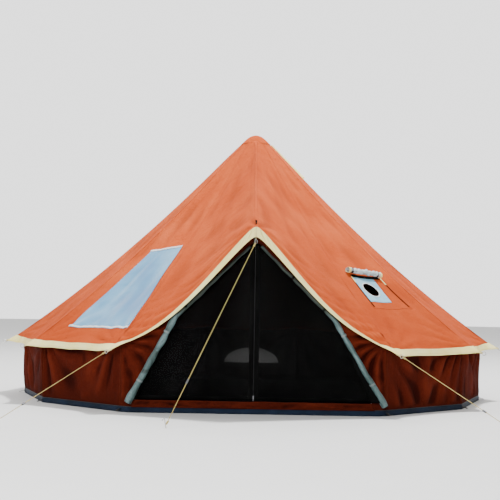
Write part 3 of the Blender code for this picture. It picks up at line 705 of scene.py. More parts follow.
def roof_folds(share, radius):
    """How far the roof canvas stands out from its bare surface."""
    along = roof_along(radius)
    gable = (share < 0) | (share > FACETS)
    width = np.where(gable, GABLE_WIDTH * along, panel_width(radius))
    beside = (share - np.round(share)) * width
    above = (EAVE_RADIUS - radius) * ROOF_STRETCH
    belly = -0.006 * arch(share - np.floor(share)) * np.sin(math.pi * np.clip(along, 0, 1))
    uneven = waves(share * 2.1, radius * 2.6, 1.3)

    # Folds from each guy point
    reach = np.hypot(beside, above)
    turn = np.arctan2(beside, above + 0.02)
    corner = rays(turn, reach, depth=0.010, count=15, uneven=2.2 * uneven, rise=(0.03, 0.20))
    corner = corner * np.exp(-(reach / 0.50) ** 2)
    ridge_corner = (np.abs(share + 1) < 0.5) | (np.abs(share - FACETS - 1) < 0.5)
    corner = np.where(ridge_corner, 0, corner)

    # Wide and narrow folds from the gable's tip, and folds that run up from its front edge
    from_ridge = np.clip(np.minimum(share + 1, FACETS + 1 - share), 0, 1) * GABLE_WIDTH * along
    reach = np.hypot(from_ridge, above)
    turn = np.arctan2(from_ridge, above + 0.02)
    wide = rays(turn, reach, depth=0.017, count=13, uneven=1.6 * uneven, rise=(0.02, 0.14))
    narrow = rays(turn, reach, depth=0.008, count=27, uneven=-2.5 * uneven, rise=(0.1, 0.3))
    star = wide * np.exp(-reach / 0.60) + narrow * np.exp(-reach / 0.4)
    pitch, slant = 0.17, 0.55
    edge = 0.016 * fold(2 * math.pi * (slant * from_ridge - above) / pitch + 3 * uneven)
    edge = edge * np.exp(-above / 0.25) * fade(from_ridge, 0.10, 0.4)
    front = np.where(gable, (star + edge) * fade(above, 0.0, 0.09), 0)

    # Broad uneven drape and the finer pull down the cloth, both held at the seams
    drape = 0.007 * waves(share * 9, radius * 5, 2.7) * fade(along, 0.05, 0.3)
    pull = 0.0016 * waves(share * 26, radius * 3.0, 4.1) * fade(along, 0.1, 0.5)
    still = fade(np.abs(beside), 0.0, 0.05)
    hemmed = np.where(gable, fade(above, 0.0, 0.12), 1)
    return ((belly + drape + pull) * hemmed + corner) * still + front


def canvas(share, radius, lift=0.0, folds=True):
    """Points of the roof canvas, lifted off it by a distance."""
    share, radius = np.broadcast_arrays(np.asarray(share, float), np.asarray(radius, float))
    step = 0.004
    middle = bare_canvas(share, radius)
    round_it = bare_canvas(share + step, radius) - bare_canvas(share - step, radius)
    down_it = bare_canvas(share, radius + step) - bare_canvas(share, radius - step)
    normal = np.cross(down_it, round_it)
    normal /= np.maximum(np.linalg.norm(normal, axis=-1, keepdims=True), 1e-9)
    normal *= np.where(normal[..., 2:] < 0, -1, 1)
    out = lift + (roof_folds(share, radius) if folds else 0.0)
    return middle + normal * np.broadcast_to(out, share.shape)[..., None]


# ---------------------------------------------------------------- roof

def roof_rows():
    parts = [np.linspace(low, high, count, endpoint=False)
             for low, high, count in zip(ROW_BREAKS, ROW_BREAKS[1:], ROWS_BETWEEN)]
    return np.append(np.concatenate(parts), ROW_BREAKS[-1])


def bend_round_opening(opening, share, radius):
    """Move grid lines of one facet so that some of them run along an opening's edges."""
    facet, ((a_top, ra_top), (b_top, rb_top), (a_low, ra_low), (b_low, rb_low)) = opening
    first = min(ROW_BREAKS, key=lambda value: abs(value - min(ra_top, rb_top)))
    last = min(ROW_BREAKS, key=lambda value: abs(value - ra_low))
    before = ROW_BREAKS[ROW_BREAKS.index(first) - 1]
    after = ROW_BREAKS[ROW_BREAKS.index(last) + 1]
    rest = share - facet
    inside = (rest >= 0) & (rest <= 1)

    a_edge = np.interp(radius, (ra_top, ra_low), (a_top, a_low))
    b_edge = np.interp(radius, (rb_top, rb_low), (b_top, b_low))
    a_line = round(COLUMNS * (a_top + a_low) / 2) / COLUMNS
    b_line = round(COLUMNS * (b_top + b_low) / 2) / COLUMNS
    moved = np.where(rest < a_line, rest / a_line * a_edge,
                     a_edge + (rest - a_line) / (b_line - a_line) * (b_edge - a_edge))
    moved = np.where(rest > b_line, b_edge + (rest - b_line) / (1 - b_line) * (1 - b_edge), moved)

    level = np.clip(np.minimum(moved / a_edge, (1 - moved) / (1 - b_edge)), 0, 1)
    top = (np.interp(moved, (a_top, b_top), (ra_top, rb_top)) - first) * level
    low = (np.interp(moved, (a_low, b_low), (ra_low, rb_low)) - last) * level
    top_pull = np.where(radius < first, (radius - before) / (first - before),
                        (last - radius) / (last - first))
    low_pull = np.where(radius < last, (radius - first) / (last - first),
                        (after - radius) / (after - last))
    shift = top * np.clip(top_pull, 0, 1) + low * np.clip(low_pull, 0, 1)
    open_cells = (inside & (rest >= a_line - 1e-9) & (rest < b_line - 1e-9)
                  & (radius >= first - 1e-9) & (radius < last - 1e-9))[:-1, :-1]
    return (np.where(inside, facet + moved, share), np.where(inside, radius + shift, radius),
            open_cells)


def seam_distance(share, radius):
    """Distance to the nearest seam between panels, or to the eave."""
    beside = np.abs(share - np.round(share)) * panel_width(radius)
    return np.minimum(beside, (EAVE_RADIUS - radius) * ROOF_STRETCH)


def make_roof():
    beside_ridge = span(GABLE_COLUMNS) ** 1.3
    columns = np.concatenate([beside_ridge[:-1] - 1, span(COLUMNS * FACETS, 0, FACETS)[:-1],
                              FACETS + 1 - beside_ridge[::-1]])
    share, radius = np.meshgrid(columns, roof_rows())
    hole = np.zeros((share.shape[0] - 1, share.shape[1] - 1), bool)
    for opening in (SKYLIGHT, STOVE_PATCH, VENT):
        share, radius, cells = bend_round_opening(opening, share, radius)
        hole |= cells
    points = canvas(share, radius)
    cloth("roof_canvas", points, "roof", [name for name in NODES if name.startswith("roof_")],
          "stretched", ["centre_pole_cap", "door_frame_elbow"], loop=True, hole=hole,
          edge=seam_distance(share, radius), folds=roof_folds(share, radius))
    make_roof_seams()
    make_apex()


def ridge_strip(half, radius, lift):
    """Points of a strip of this half width, in share, that lies over the ridge."""
    right = canvas(-1 + half * span(2)[None, :], radius, lift)
    left = canvas(FACETS + 1 - half * span(2)[None, ::-1], radius, lift)
    return np.concatenate([left, right[:, 1:]], axis=1)


def make_roof_seams():
    """Felled seams: a narrow second layer of canvas along every join of the roof."""
    radius = span(110, ROOF_TOP_RADIUS + 0.02, EAVE_RADIUS)[:, None]
    for index in range(-1, FACETS + 1):
        if index == -1:
            beside = SEAM_HALF / (GABLE_WIDTH * np.maximum(roof_along(radius), 0.02))
            points = ridge_strip(np.minimum(beside, 0.3), radius, SEAM_LIFT)
        else:
            beside = SEAM_HALF / panel_width(radius)
            points = canvas(index + beside * span(4, -1, 1)[None, :], radius, SEAM_LIFT)
        from_edge = (1 - np.abs(span(points.shape[1] - 1, -1, 1))) * SEAM_HALF
        grid_piece(f"roof_seam_{index + 2}", points, "roof", thickness=0.0014,
                   edge=np.broadcast_to(from_edge, points.shape[:2]))


def make_apex():
    """Cap of doubled canvas over the pole: a rounded tip that runs out on the cone."""
    edge, tip, bend = 0.165, 2.912, 0.12
    height_at_bend = seam_height(bend) + 0.003
    angle, radius = np.meshgrid(span(72, 0, 2 * math.pi), span(20, 0.0008, edge))
    crown = tip - (tip - height_at_bend) * (radius / bend) ** 2
    cone = seam_height(radius) + 0.003
    height = np.where(radius < bend, crown, cone)
    wrinkle = 0.0016 * fold(22 * angle) * fade(radius, 0.03, 0.10)
    points = xyz(radius * np.sin(angle), -radius * np.cos(angle), height + wrinkle)
    cap = grid_piece("apex_cap_canvas", points, "roof", loop=True, edge=edge - radius)
    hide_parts("apex_cap")


# ---------------------------------------------------------------- hems of the roof

def bead(name, points, radius, key, cyclic=False):
    """A round cord or rolled edge along a line of points."""
    curve = bpy.data.curves.new(name, "CURVE")
    curve.dimensions = "3D"
    curve.bevel_depth = radius
    curve.bevel_resolution = 2
    curve.use_fill_caps = not cyclic
    spline = curve.splines.new("POLY")
    spline.points.add(len(points) - 1)
    spline.use_cyclic_u = cyclic
    for target, position in zip(spline.points, points):
        target.co = (*position, 1)
    curve.materials.append(MATS[key])
    return link(bpy.data.objects.new(name, curve))


def make_valance():
    """Cream hem round the eave, pulled out to a tip at each guy line."""
    share, drop = np.meshgrid(span(36 * FACETS, 0, FACETS), span(6))
    rest = share - np.floor(np.minimum(share, FACETS - 1e-6))
    edge = canvas(share[0], EAVE_RADIUS)[None, :, :]
    out = unit(edge * (1, 1, 0))
    tip = np.abs(2 * rest - 1) ** 4
    flutter = 0.004 * waves(share * 11, drop * 2, 6.3) * drop * (1 - tip)
    reach = (HEM_REACH + HEM_TIP * tip) * drop + flutter
    points = edge + out * (HEM_OUT + reach)[..., None] + xyz(0, 0, HEM_RISE - HEM_DROP * drop)
    hem = grid_piece("eave_hem", points, "trim", thickness=0.0022)
    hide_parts("eave_valance")
    cord = bead("eave_hem_bead", points[-1], 0.0032, "trim")


def make_gable_trim():
    """Band that hangs from the front edge of the roof, widest over the door's apex."""
    for word, side in SIDES:
        across, drop = np.meshgrid(span(220, 0.0008, 1), span(9))
        share = across - 1 if side > 0 else FACETS + 1 - across
        edge = canvas(share, EAVE_RADIUS)
        width = 0.012 + 0.078 * (1 - np.clip(across / 0.95, 0, 1)) ** 1.3
        sway = 0.0035 * waves(across * 16, drop * 3, 2.2) * np.sin(math.pi * drop)
        pleat = 0.0022 * fold(46 * across) * (1 - drop) * fade(across, 0.02, 0.2)
        fan = 0.0040 * fold(110 * across * (1 - 0.25 * drop) + 5 * waves(across * 9, drop, 3.6))
        fan = fan * (np.exp(-across / 0.16) + 0.25) * np.sin(math.pi * (0.12 + 0.76 * drop))
        fan = fan * fade(across, 0.0, 0.02)
        front = xyz(0, sway - pleat - fan - 0.0035 - 0.2 * width * drop, 0.004 - width * drop)
        tip = HEM_OUT + (HEM_REACH + HEM_TIP) * drop
        corner = xyz(tip * math.sin(GABLE_ANGLE) * side, -tip * math.cos(GABLE_ANGLE),
                     HEM_RISE - HEM_DROP * drop)
        joined = fade(across, 0.89, 1.0)[..., None]
        points = edge + front * (1 - joined) + corner * joined
        trim = grid_piece(f"gable_trim_{word}_cloth", points, "trim",
                          thickness=0.0024, folds=fan * (1 - joined[..., 0]))
        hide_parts(f"gable_trim_{word}")
        cord = bead(f"gable_trim_{word}_bead", points[-1], 0.0034, "trim")


def make_ridge_slot():
    """Bound slot in the ridge, just above the gable, that the door frame's strap leaves by."""
    radius = span(10, 2.43, 2.535)[:, None]
    half = 0.0042 / (GABLE_WIDTH * roof_along(radius))
    grid_piece("ridge_slot", ridge_strip(half, radius, 0.004), "tape", "trim", thickness=0.0016)


# ---------------------------------------------------------------- walls and groundsheet

def wall_surface(share, level):
    """Wall from the groundsheet's rim, level 0, to the eave, level 1, with its folds."""
    rest, x, y = panel_plan(share, WALL_RADIUS)
    slack = arch(rest) * roof_along(WALL_RADIUS) ** 6
    under = canvas(share, WALL_RADIUS + EAVE_SCALLOP * slack)
    top = under[..., 2] - WALL_TOP_GAP
    z = RIM_TOP + level * (top - RIM_TOP)
    beside = (share - np.round(share)) * panel_width(WALL_RADIUS)
    drop = (1 - level) * (WALL_TOP - RIM_TOP)
    uneven = waves(share * 3.1, level * 1.4, 3.9)
    reach = np.hypot(beside, drop)
    turn = np.arctan2(beside, drop + 0.06)
    pulled = rays(turn, reach, depth=0.038, count=15, uneven=3.6 * uneven, rise=(0.04, 0.25))
    pulled = pulled * np.exp(-reach / 0.9) * (0.65 + 0.35 * waves(share * 7, level * 2.2, 5.2))
    hang = 0.012 * fold(26 * share + 4 * uneven) * (1 - np.exp(-np.abs(beside) / 0.2))
    loose = 0.009 * waves(share * 13, level * 3, 7.7)
    out = (pulled + hang + loose) * fade(1 - level, 0.0, 0.16) * fade(level, 0.0, 0.10)
    out = out * fade(np.minimum(share, FACETS - share), 0.0, 0.16)
    radial = np.hypot(x, y)
    return xyz(x * (1 + out / radial), y * (1 + out / radial), z), out


def cut_half_moon(obj, half, height, centre):
    """Cut a half-moon opening through a piece that faces along Y."""
    bm = bmesh.new()
    bmesh.ops.create_circle(bm, cap_ends=True, segments=56, radius=1)
    bmesh.ops.scale(bm, vec=(half, height, 1), verts=bm.verts)
    bmesh.ops.bisect_plane(bm, geom=bm.verts[:] + bm.edges[:] + bm.faces[:],
                           plane_co=(0, 0, 0), plane_no=(0, 1, 0), clear_inner=True)
    side = bmesh.ops.extrude_face_region(bm, geom=bm.faces[:])
    raised = [item for item in side["geom"] if isinstance(item, bmesh.types.BMVert)]
    bmesh.ops.translate(bm, vec=(0, 0, 0.2), verts=raised)
    bmesh.ops.recalc_face_normals(bm, faces=bm.faces)
    cutter = bmesh_object("opening", bm)
    cutter.matrix_world = (Matrix.Translation(centre + Vector((0, 0.1, 0)))
                           @ Matrix.Rotation(math.pi / 2, 4, "X"))
    cut = obj.modifiers.new("opening", "BOOLEAN")
    cut.operation = "DIFFERENCE"
    cut.solver = "EXACT"
    cut.object = cutter
    apply_modifiers(obj)
    bpy.data.objects.remove(cutter, do_unlink=True)


def make_walls():
    spans = {"right": (0, 5), "back": (5, 6), "left": (6, 11)}
    for side, (first, last) in spans.items():
        share, level = np.meshgrid(span(36 * (last - first), first, last), span(26))
        points, out = wall_surface(share, level)
        seam = np.abs(share - np.round(share)) * 1.18
        nodes = [node for node in NODES if node.startswith(f"wall_{side}")]
        wall = cloth(f"wall_{side}_canvas", points, "wall", nodes, "hung", ["roof_canvas"],
                     edge=seam, folds=out)
        if side == "back":
            cut_half_moon(wall, WINDOW_HALF, WINDOW_RISE, Vector((0, WINDOW_Y, WINDOW_BASE)))
    for index in range(FACETS + 1):
        share, level = np.meshgrid(index + span(4, -0.009, 0.009), span(26))
        points = wall_surface(np.clip(share, 0, FACETS), level)[0]
        points = points + unit(points * (1, 1, 0)) * SEAM_LIFT
        grid_piece(f"wall_seam_{index + 1}", points, "wall", thickness=0.0014)


def door_plane(x, z, out=0.0):
    """Points of the leaning plane of the doorway, or this far out in front of it."""
    return xyz(x, DOOR_Y - DOOR_LEAN * z - out, z)


def along_corners(corners, share):
    """Point on a line through corners that each take an equal share of 0 to 1."""
    places = np.linspace(0, 1, len(corners))
    return [np.interp(share, places, [corner[axis] for corner in corners]) for axis in (0, 1)]


def make_front_walls():
    """Canvas between each side of the doorway, the corner of the eave and the gable."""
    corner_x = WALL_RADIUS * math.sin(GABLE_ANGLE)
    corner_y = -WALL_RADIUS * math.cos(GABLE_ANGLE)
    for word, side in SIDES:
        inward, up = grid(40, 110)
        across = 1 - np.clip(up * 2 - 1, 0, 1) * 0.98
        gable = bare_canvas(across - 1, ROOF_TOP_RADIUS + 0.96 * (EAVE_RADIUS - ROOF_TOP_RADIUS))
        gable = gable - (0, 0, 0.012)
        corner = xyz(corner_x, corner_y, RIM_TOP + np.clip(up * 2, 0, 1) * (WALL_TOP - RIM_TOP))
        outer = np.where((up < 0.5)[..., None], corner, gable)
        x, z = along_corners((DOOR_FOOT, DOOR_KINK, DOOR_APEX), up)
        inner = door_plane(x, z)
        points = outer + (inner - outer) * inward[..., None]

        beside = corner_x - points[..., 0]
        drop = WALL_TOP - points[..., 2]
        reach = np.hypot(beside, drop)
        uneven = waves(points[..., 0] * 5, points[..., 2] * 4, 1.1 + side)
        turn = np.arctan2(beside, drop + 0.03)
        pulled = rays(turn, reach, depth=0.030, count=17, uneven=3.4 * uneven + side,
                      rise=(0.03, 0.25))
        pulled = pulled * (0.65 + 0.35 * waves(points[..., 0] * 8, points[..., 2] * 6, 2.8 + side))
        loose = 0.008 * waves(points[..., 0] * 22, points[..., 2] * 18, 4.4)
        held = (fade(inward, 0, 0.14) * fade(1 - inward, 0, 0.24) * fade(up, 0, 0.10)
                * fade(1 - up, 0.3, 0.6))
        out = (pulled + loose) * held
        points = (points + xyz(0, -out, 0)) * (side, 1, 1)
        cloth(f"front_wall_{word}_canvas", points, "wall", [f"front_wall_{word}"], "stretched",
              [f"door_frame_{word}", "roof_canvas"], slanted=True, folds=out)


def make_sill():
    u, v = grid(110, 10)
    z = RIM_TOP + v * (SILL_TOP - RIM_TOP)
    half = DOOR_FOOT[0] - (DOOR_FOOT[0] - DOOR_KINK[0]) * (z - RIM_TOP) / (DOOR_KINK[1] - RIM_TOP)
    x = half * (2 * u - 1)
    crumple = 0.010 * fold(5 * x + 26 * z + 3 * waves(x * 5, z * 30, 2.0))
    crumple = crumple + 0.007 * waves(x * 38, z * 50, 5.0)
    crumple = crumple * np.sin(math.pi * np.clip(v, 0.0, 0.9))
    crumple = crumple * fade(1 - np.abs(2 * u - 1), 0, 0.03)
    sway = 0.003 * waves(x * 9, x, 3.0) * v
    points = door_plane(x, z, 0.006) + xyz(0, -crumple, sway)
    cloth("door_sill_canvas", points, "wall", ["door_sill"], "stretched",
          ["groundsheet_floor"], thickness=0.002, folds=crumple)


def make_rim():
    """Raised edge of the groundsheet with the bead that joins it to the wall."""
    plan = [(-1.15, DOOR_Y), (1.15, DOOR_Y)]
    for index in range(FACETS + 1):
        angle = GABLE_ANGLE + index * FACET_ANGLE
        plan.append((WALL_RADIUS * math.sin(angle), -WALL_RADIUS * math.cos(angle)))
    plan.append(plan[0])
    line = [plan[:1]]
    for start, end in zip(np.array(plan), np.array(plan[1:])):
        count = max(4, round(math.dist(start, end) / 0.03))
        line.append(start + (end - start) * span(count)[1:, None])
    line = np.concatenate(line)
    run = np.arange(len(line)) / 8
    level = span(6)[:, None]
    out = unit(line)
    bulge = 0.002 + 0.004 * np.sin(math.pi * level) + 0.0025 * waves(run, run * 0.3, 2.5) * level
    plane = line[None] + out[None] * bulge[..., None]
    points = xyz(plane[..., 0], plane[..., 1], 0.003 + level * 0.049)
    rim = grid_piece("groundsheet_rim_sheet", points, "pvc", loop=True)
    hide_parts("groundsheet_rim")
    top = points[-1][:-1] + (0, 0, 0.001)
    piping = bead("groundsheet_piping", top, 0.003, "webbing", cyclic=True)


# ---------------------------------------------------------------- webbing and rings

def strap_loop(name, start, out, wide, length, width, gap, key):
    """A folded strip of webbing that runs out from start and comes back round a ring.

    wide is the direction of its width, and gap is half the space between its two runs.
    """
    start, out, wide = Vector(start), Vector(out).normalized(), Vector(wide).normalized()
    across = out.cross(wide)
    line = [start + across * gap]
    for step in range(7):
        angle = math.radians(90 - 30 * step)
        line.append(start + out * (length + gap * math.cos(angle))
                    + across * gap * math.sin(angle))
    line.append(start - across * gap)
    points = np.array([[point + wide * width * (share - 0.5) for share in span(3)]
                       for point in line])
    grid_piece(name, points, key, thickness=0.0016)


def steel_ring(name, centre, normal):
    bpy.ops.mesh.primitive_torus_add(major_segments=36, minor_segments=10,
                                     major_radius=RING_RADIUS, minor_radius=RING_WIRE)
    ring = bpy.context.object
    ring.name = name
    ring.rotation_euler = Vector(normal).to_track_quat("Z", "Y").to_euler()
    ring.location = centre
    ring.data.shade_smooth()
    ring.data.materials.append(MATS["zinc"])
    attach(ring, "root")


def make_guy_tabs():
    """Webbing tab and ring at every point of the eave hem, and one over the door."""
    ring_radius, ring_z = CORNER_RING
    tab_radius = EAVE_RADIUS + 0.05
    tab_width, tab_gap = 0.020, 0.0042
    for index in range(FACETS + 1):
        out = outward(GABLE_ANGLE + index * FACET_ANGLE)
        across = Vector((-out.y, out.x, 0))
        start = out * tab_radius + UP * (ring_z + 0.02)
        reach = ring_radius - RING_RADIUS - tab_radius
        strap_loop(f"guy_tab_{index + 1}", start, out - 0.25 * UP, UP, reach, tab_width, tab_gap,
                   "webbing_cream")
        if 0 < index < FACETS:
            steel_ring(f"spare_ring_{index + 1}", out * ring_radius + UP * ring_z, across)
        foot = out * (WALL_RADIUS + 0.004) + UP * 0.030
        strap_loop(f"peg_tab_{index + 1}", foot, out - 0.30 * UP, across, 0.055, tab_width, 0.003,
                   "webbing")
    start = Vector(GABLE_RING) + Vector((0, 0.018, 0.088))
    strap_loop("guy_tab_gable", start, (0, -0.018, -0.070), (0, 1, 0.2), 0.066, 0.018, tab_gap,
               "webbing_cream")


# ---------------------------------------------------------------- window, stove jack and vent

def opening_grid(opening, columns, rows, grow, lift, relief):
    """Points over an opening of the roof, grown past its edges by a share of its size."""
    facet, corners = opening
    a_top, b_top, a_low, b_low = (np.array(corner) for corner in corners)
    u, v = np.meshgrid(span(columns, -grow, 1 + grow), span(rows, -grow, 1 + grow))
    across, down = u[..., None], v[..., None]
    place = ((a_top + across * (b_top - a_top)) * (1 - down)
             + (a_low + across * (b_low - a_low)) * down)
    return canvas(facet + place[..., 0], place[..., 1], lift=lift + relief(u, v))


def make_skylight():
    def slack(u, v):
        middle = np.sin(math.pi * np.clip(u, 0, 1)) * np.sin(math.pi * np.clip(v, 0, 1))
        return (0.006 * waves(u * 8, v * 6, 1.9) - 0.008) * middle

    points = opening_grid(SKYLIGHT, 40, 44, grow=0.012, lift=0.002, relief=slack)
    cloth("skylight_film", points, "film", ["skylight_window"], "stretched", ["roof_canvas"],
          thickness=0.0012)
    u = span(90)
    ripple = 0.0022 * waves(u * 26, u, 3.3)[:, None]
    down = unit(points[1].mean(axis=0) - points[0].mean(axis=0))
    for word, row, width in (("top", 0, 0.026), ("foot", -1, -0.022)):
        line = np.stack([np.interp(u, span(40), points[row, :, axis]) for axis in range(3)], -1)
        strip = np.stack([line + down * (width * level + ripple * (0.3 + level))
                          + np.array((0, 0, 0.004 + 0.004 * math.sin(math.pi * level)))
                          for level in span(4)])
        grid_piece(f"skylight_binding_{word}", strip, "white", "clear_film", thickness=0.0016)


def stove_place(place, lift):
    """Points over the stove jack from their (share, radius)."""
    return canvas(STOVE_PATCH[0] + place[..., 0], place[..., 1], lift)


def stove_strip(name, start, end, aside, count, lift, key, slot=None, thickness=0.002):
    """Strip on the roof from one (share, radius) to another, with its columns set aside."""
    run = span(count)[:, None, None]
    place = np.array(start) + (np.array(end) - start) * run + np.array(aside)[None]
    grid_piece(name, stove_place(place, lift), key, slot, thickness=thickness)


def make_stove_jack():
    """Heat-proof patch with the pipe's hole and ring, and the rolled rain flap with its zips."""
    centre = np.array(STOVE_HOLE)
    width = panel_width(centre[1])
    slope = math.hypot(1, SEAM_SLOPE - 2 * SEAM_HOLLOW * centre[1])
    scale = np.array((width, slope))
    top_a, top_b, low_a, low_b = (np.array(corner) for corner in STOVE_PATCH[1])
    border = [top_a, top_b, low_b, low_a, top_a]
    outline = np.concatenate([start + (end - start) * span(15)[:-1, None]
                              for start, end in zip(border, border[1:])])
    outline = np.vstack([outline, outline[:1]])
    outline = centre + (outline - centre) * 1.03
    direction = unit((outline - centre) * scale)
    circle = centre + direction * STOVE_HOLE_RADIUS / scale
    points = stove_place(circle[None] + (outline - circle)[None] * span(7)[:, None, None], 0.0022)
    patch = grid_piece("stove_jack_cloth", points, "heat", loop=True, thickness=0.002)
    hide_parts("stove_jack_patch")
    ring = np.stack([circle + (centre - circle) * inset for inset in (-0.10, -0.05, 0.02)])
    grid_piece("stove_pipe_ring", stove_place(ring, 0.0045), "white", "heat_cloth", loop=True,
               thickness=0.003)

    # Black fastener strip under the rolled flap; its black also stands in as the painted shadow
    # the roll casts on the patch
    stove_strip("stove_flap_fastener_shadow", (0.21, 1.700), (0.70, 1.718),
                [(0, offset) for offset in 0.030 * span(2)], 40, 0.006, "tape", "heat_cloth",
                thickness=0.003)
    sides = {"left": ((0.203, 1.72), (0.205, 2.085)), "right": ((0.735, 1.735), (0.752, 2.085))}
    for word, (top, low) in sides.items():
        columns = 0.006 / width * span(2, -1, 1)
        stove_strip(f"stove_flap_zip_{word}", top, low, [(offset, 0) for offset in columns], 40,
                    0.0035, "tape", "heat_cloth")
        stove_strip(f"stove_flap_binding_{word}", top, (top[0], top[1] + 0.075),
                    [(offset * 1.2, 0) for offset in columns], 12, 0.006, "trim")
    hem = [(0.185, 1.71), (0.185, 2.10), (0.775, 2.10), (0.755, 1.72)]
    for number, (start, end) in enumerate(zip(hem, hem[1:])):
        hem_width = (0, 0.008) if number == 1 else (0.010 / width, 0)
        stove_strip(f"stove_flap_hem_{number + 1}", start, end,
                    [np.array(hem_width) * share for share in span(2)], 30, 0.0018, "roof",
                    thickness=0.0016)
    make_stove_flap_roll()


def make_stove_flap_roll():
    """Rain flap of the stove jack, rolled up above it and tied."""
    left_end, right_end = stove_place(np.array(((0.15, 1.675), (0.73, 1.73))), 0.034)
    low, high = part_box("stove_jack_flap_roll")
    line = left_end + (right_end - left_end) * span(50)[:, None]
    line[:, 2] += (low[2] + high[2] - left_end[2] - right_end[2]) / 2
    facing = (0, -0.5, 0.8)
    roll = rolled_cloth("stove_flap_roll", line, lambda share: 0.0265 + 0 * share, 3.2, facing,
                        "silver", crumple=0.42, ties=(0.14, 0.5, 0.86))
    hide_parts("stove_jack_flap_roll")
    straps = ((0.035, 0.026, "trim"), (0.13, 0.020, "webbing"), (0.86, 0.020, "webbing"),
              (0.965, 0.026, "trim"))
    for number, (share, width, key) in enumerate(straps):
        tie_band(f"stove_flap_tie_{number + 1}", line, share, 0.028, width, facing, key,
                 "trim" if key == "trim" else "lining")


def make_vent():
    points = opening_grid(VENT, 12, 8, grow=0.03, lift=0.001,
                          relief=lambda u, v: 0.001 * waves(u * 7, v * 7, 2.0))
    cloth("vent_net", points, "net", ["vent_mesh"], "stretched", ["roof_canvas"],
          thickness=0.001)
    u, v = grid(48, 26)
    across = 2 * u - 1
    half = 0.07 + v * 0.35
    radius = 0.17 + v * 0.37
    lift = 0.005 + 0.04 * arch(u) * (0.45 + 0.55 * v) + 0.002 * waves(u * 14, v * 6, 3.0) * v
    points = canvas(VENT[0] + 0.5 + across * half, radius, lift, folds=False)
    hood = grid_piece("vent_hood_canvas", points, "trim", thickness=0.002)
    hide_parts("vent_hood")
    cord = bead("vent_hood_bead", points[-1], 0.004, "trim")


# ---------------------------------------------------------------- rolled cloth

def path_frames(line, facing):
    """Unit vectors along a line and two across it, the first as near as can be to facing."""
    along = unit(np.gradient(line, axis=0))
    facing = np.broadcast_to(np.asarray(facing, float), line.shape)
    first = unit(facing - (facing * along).sum(axis=1, keepdims=True) * along)
    return along, first, np.cross(along, first)


def rolled_cloth(name, line, radius_at, turns, facing, key, crumple, ties):
    """Cloth wound round a line: a spiral section that is pinched wherever a tie holds it."""
    share = span(len(line) - 1)
    outer = radius_at(share)
    for tie in ties:
        outer = outer * (1 - 0.16 * np.exp(-((share - tie) / 0.018) ** 2))
    angle = span(round(turns * 26), 0, turns * 2 * math.pi)
    winding = 0.22 + 0.78 * angle / angle[-1]
    uneven = 1 + crumple * waves(angle[None, :] * 0.8, share[:, None] * 26, 4.2)
    slack = 1 + crumple * 0.4 * fold(share[:, None] * 60 + angle[None, :])
    radius = outer[:, None] * winding[None, :] * uneven * slack
    _, first, second = path_frames(line, facing)
    across = (first[:, None] * np.cos(angle)[None, :, None]
              + second[:, None] * np.sin(angle)[None, :, None])
    points = line[:, None] + across * radius[..., None]
    # How far the cloth stands out: the mask of the painted shade in the roll's crevices
    depth = outer[:, None] * winding[None, :] * (uneven * slack - 1)
    piece = grid_piece(name, points, key, thickness=0.0013, folds=depth)
    return piece


def tie_band(name, line, share, radius, width, facing, key, slot=None):
    """Strap round a roll."""
    along, first, second = path_frames(line, facing)
    index = round(share * (len(line) - 1))
    angle = span(28, 0, 2 * math.pi)
    around = (first[index] * np.cos(angle)[:, None] + second[index] * np.sin(angle)[:, None])
    rows = [line[index] + around * radius + along[index] * width * (level - 0.5)
            for level in span(3)]
    grid_piece(name, np.stack(rows), key, slot, loop=True, thickness=0.0018)


def smooth_line(corners, count, rounding):
    """Even points along straight runs, with the corners rounded off."""
    corners = np.array(corners, float)
    run = np.concatenate([[0], np.cumsum(np.linalg.norm(np.diff(corners, axis=0), axis=1))])
    place = np.linspace(0, run[-1], count)
    line = np.stack([np.interp(place, run, corners[:, axis]) for axis in range(3)], -1)
    for _ in range(rounding):
        line[1:-1] = (line[:-2] + 2 * line[1:-1] + line[2:]) / 4
    return line


def make_storm_doors():
    """Storm doors rolled to the sides and tied, thick below the knee and thin above it."""
    for word, side in SIDES:
        foot, knee = ROLL_RADII[word]
        radii = (foot, foot * 0.88, knee, knee * 0.86, 0.022, 0.012)

        def radius_at(share, radii=radii):
            return np.interp(share, (0, 0.10, 0.45, 0.52, 0.60, 1), radii)

        corners = [door_plane(x * side, z, out)
                   for x, z, out in (ROLL_FEET[word], ROLL_KNEE, ROLL_TOP)]
        line = smooth_line(corners, 120, 14)
        roll = rolled_cloth(f"storm_door_{word}_roll", line, radius_at, 4.0, (-side, 0.5, 0),
                            "lining", crumple=0.26, ties=ROLL_TIES)
        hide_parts(f"storm_door_{word}")
        for number, share in enumerate(ROLL_TIES):
            radius = float(radius_at(share)) * 0.90 + 0.0015
            # Ties on the shaded upper roll are black tape and the lower ones grey: painted shade
            tie_band(f"storm_door_{word}_tie_{number + 1}", line, share, radius, 0.020,
                     (0, -1, 0), "tie" if share < 0.5 else "tape", "lining")
        make_door_facing(word, side, line)


def make_door_facing(word, side, line):
    """Black facing between the doorway's edge and the cloth rolled up beside it: the storm door's
    edge, made black as painted shade for the dark inside seen through the mesh there.
    """
    height = span(60, 0.125, 1.50)
    edge = np.interp(height, (DOOR_FOOT[1], DOOR_KINK[1], DOOR_APEX[1]),
                     (DOOR_FOOT[0], DOOR_KINK[0], DOOR_APEX[0])) - 0.012
    rolled = np.interp(height, line[:, 2], np.abs(line[:, 0]))
    share = span(3)[None, :]
    x = edge[:, None] * (1 - share) + rolled[:, None] * share
    z = np.broadcast_to(height[:, None], x.shape)
    back = 0.010 + 0.034 * share + 0.003 * waves(z * 9, x, 2.0)
    grid_piece(f"storm_door_{word}_facing", door_plane(x * side, z, back), "tape", "lining",
               thickness=0.0014)


# ---------------------------------------------------------------- doors and rear window

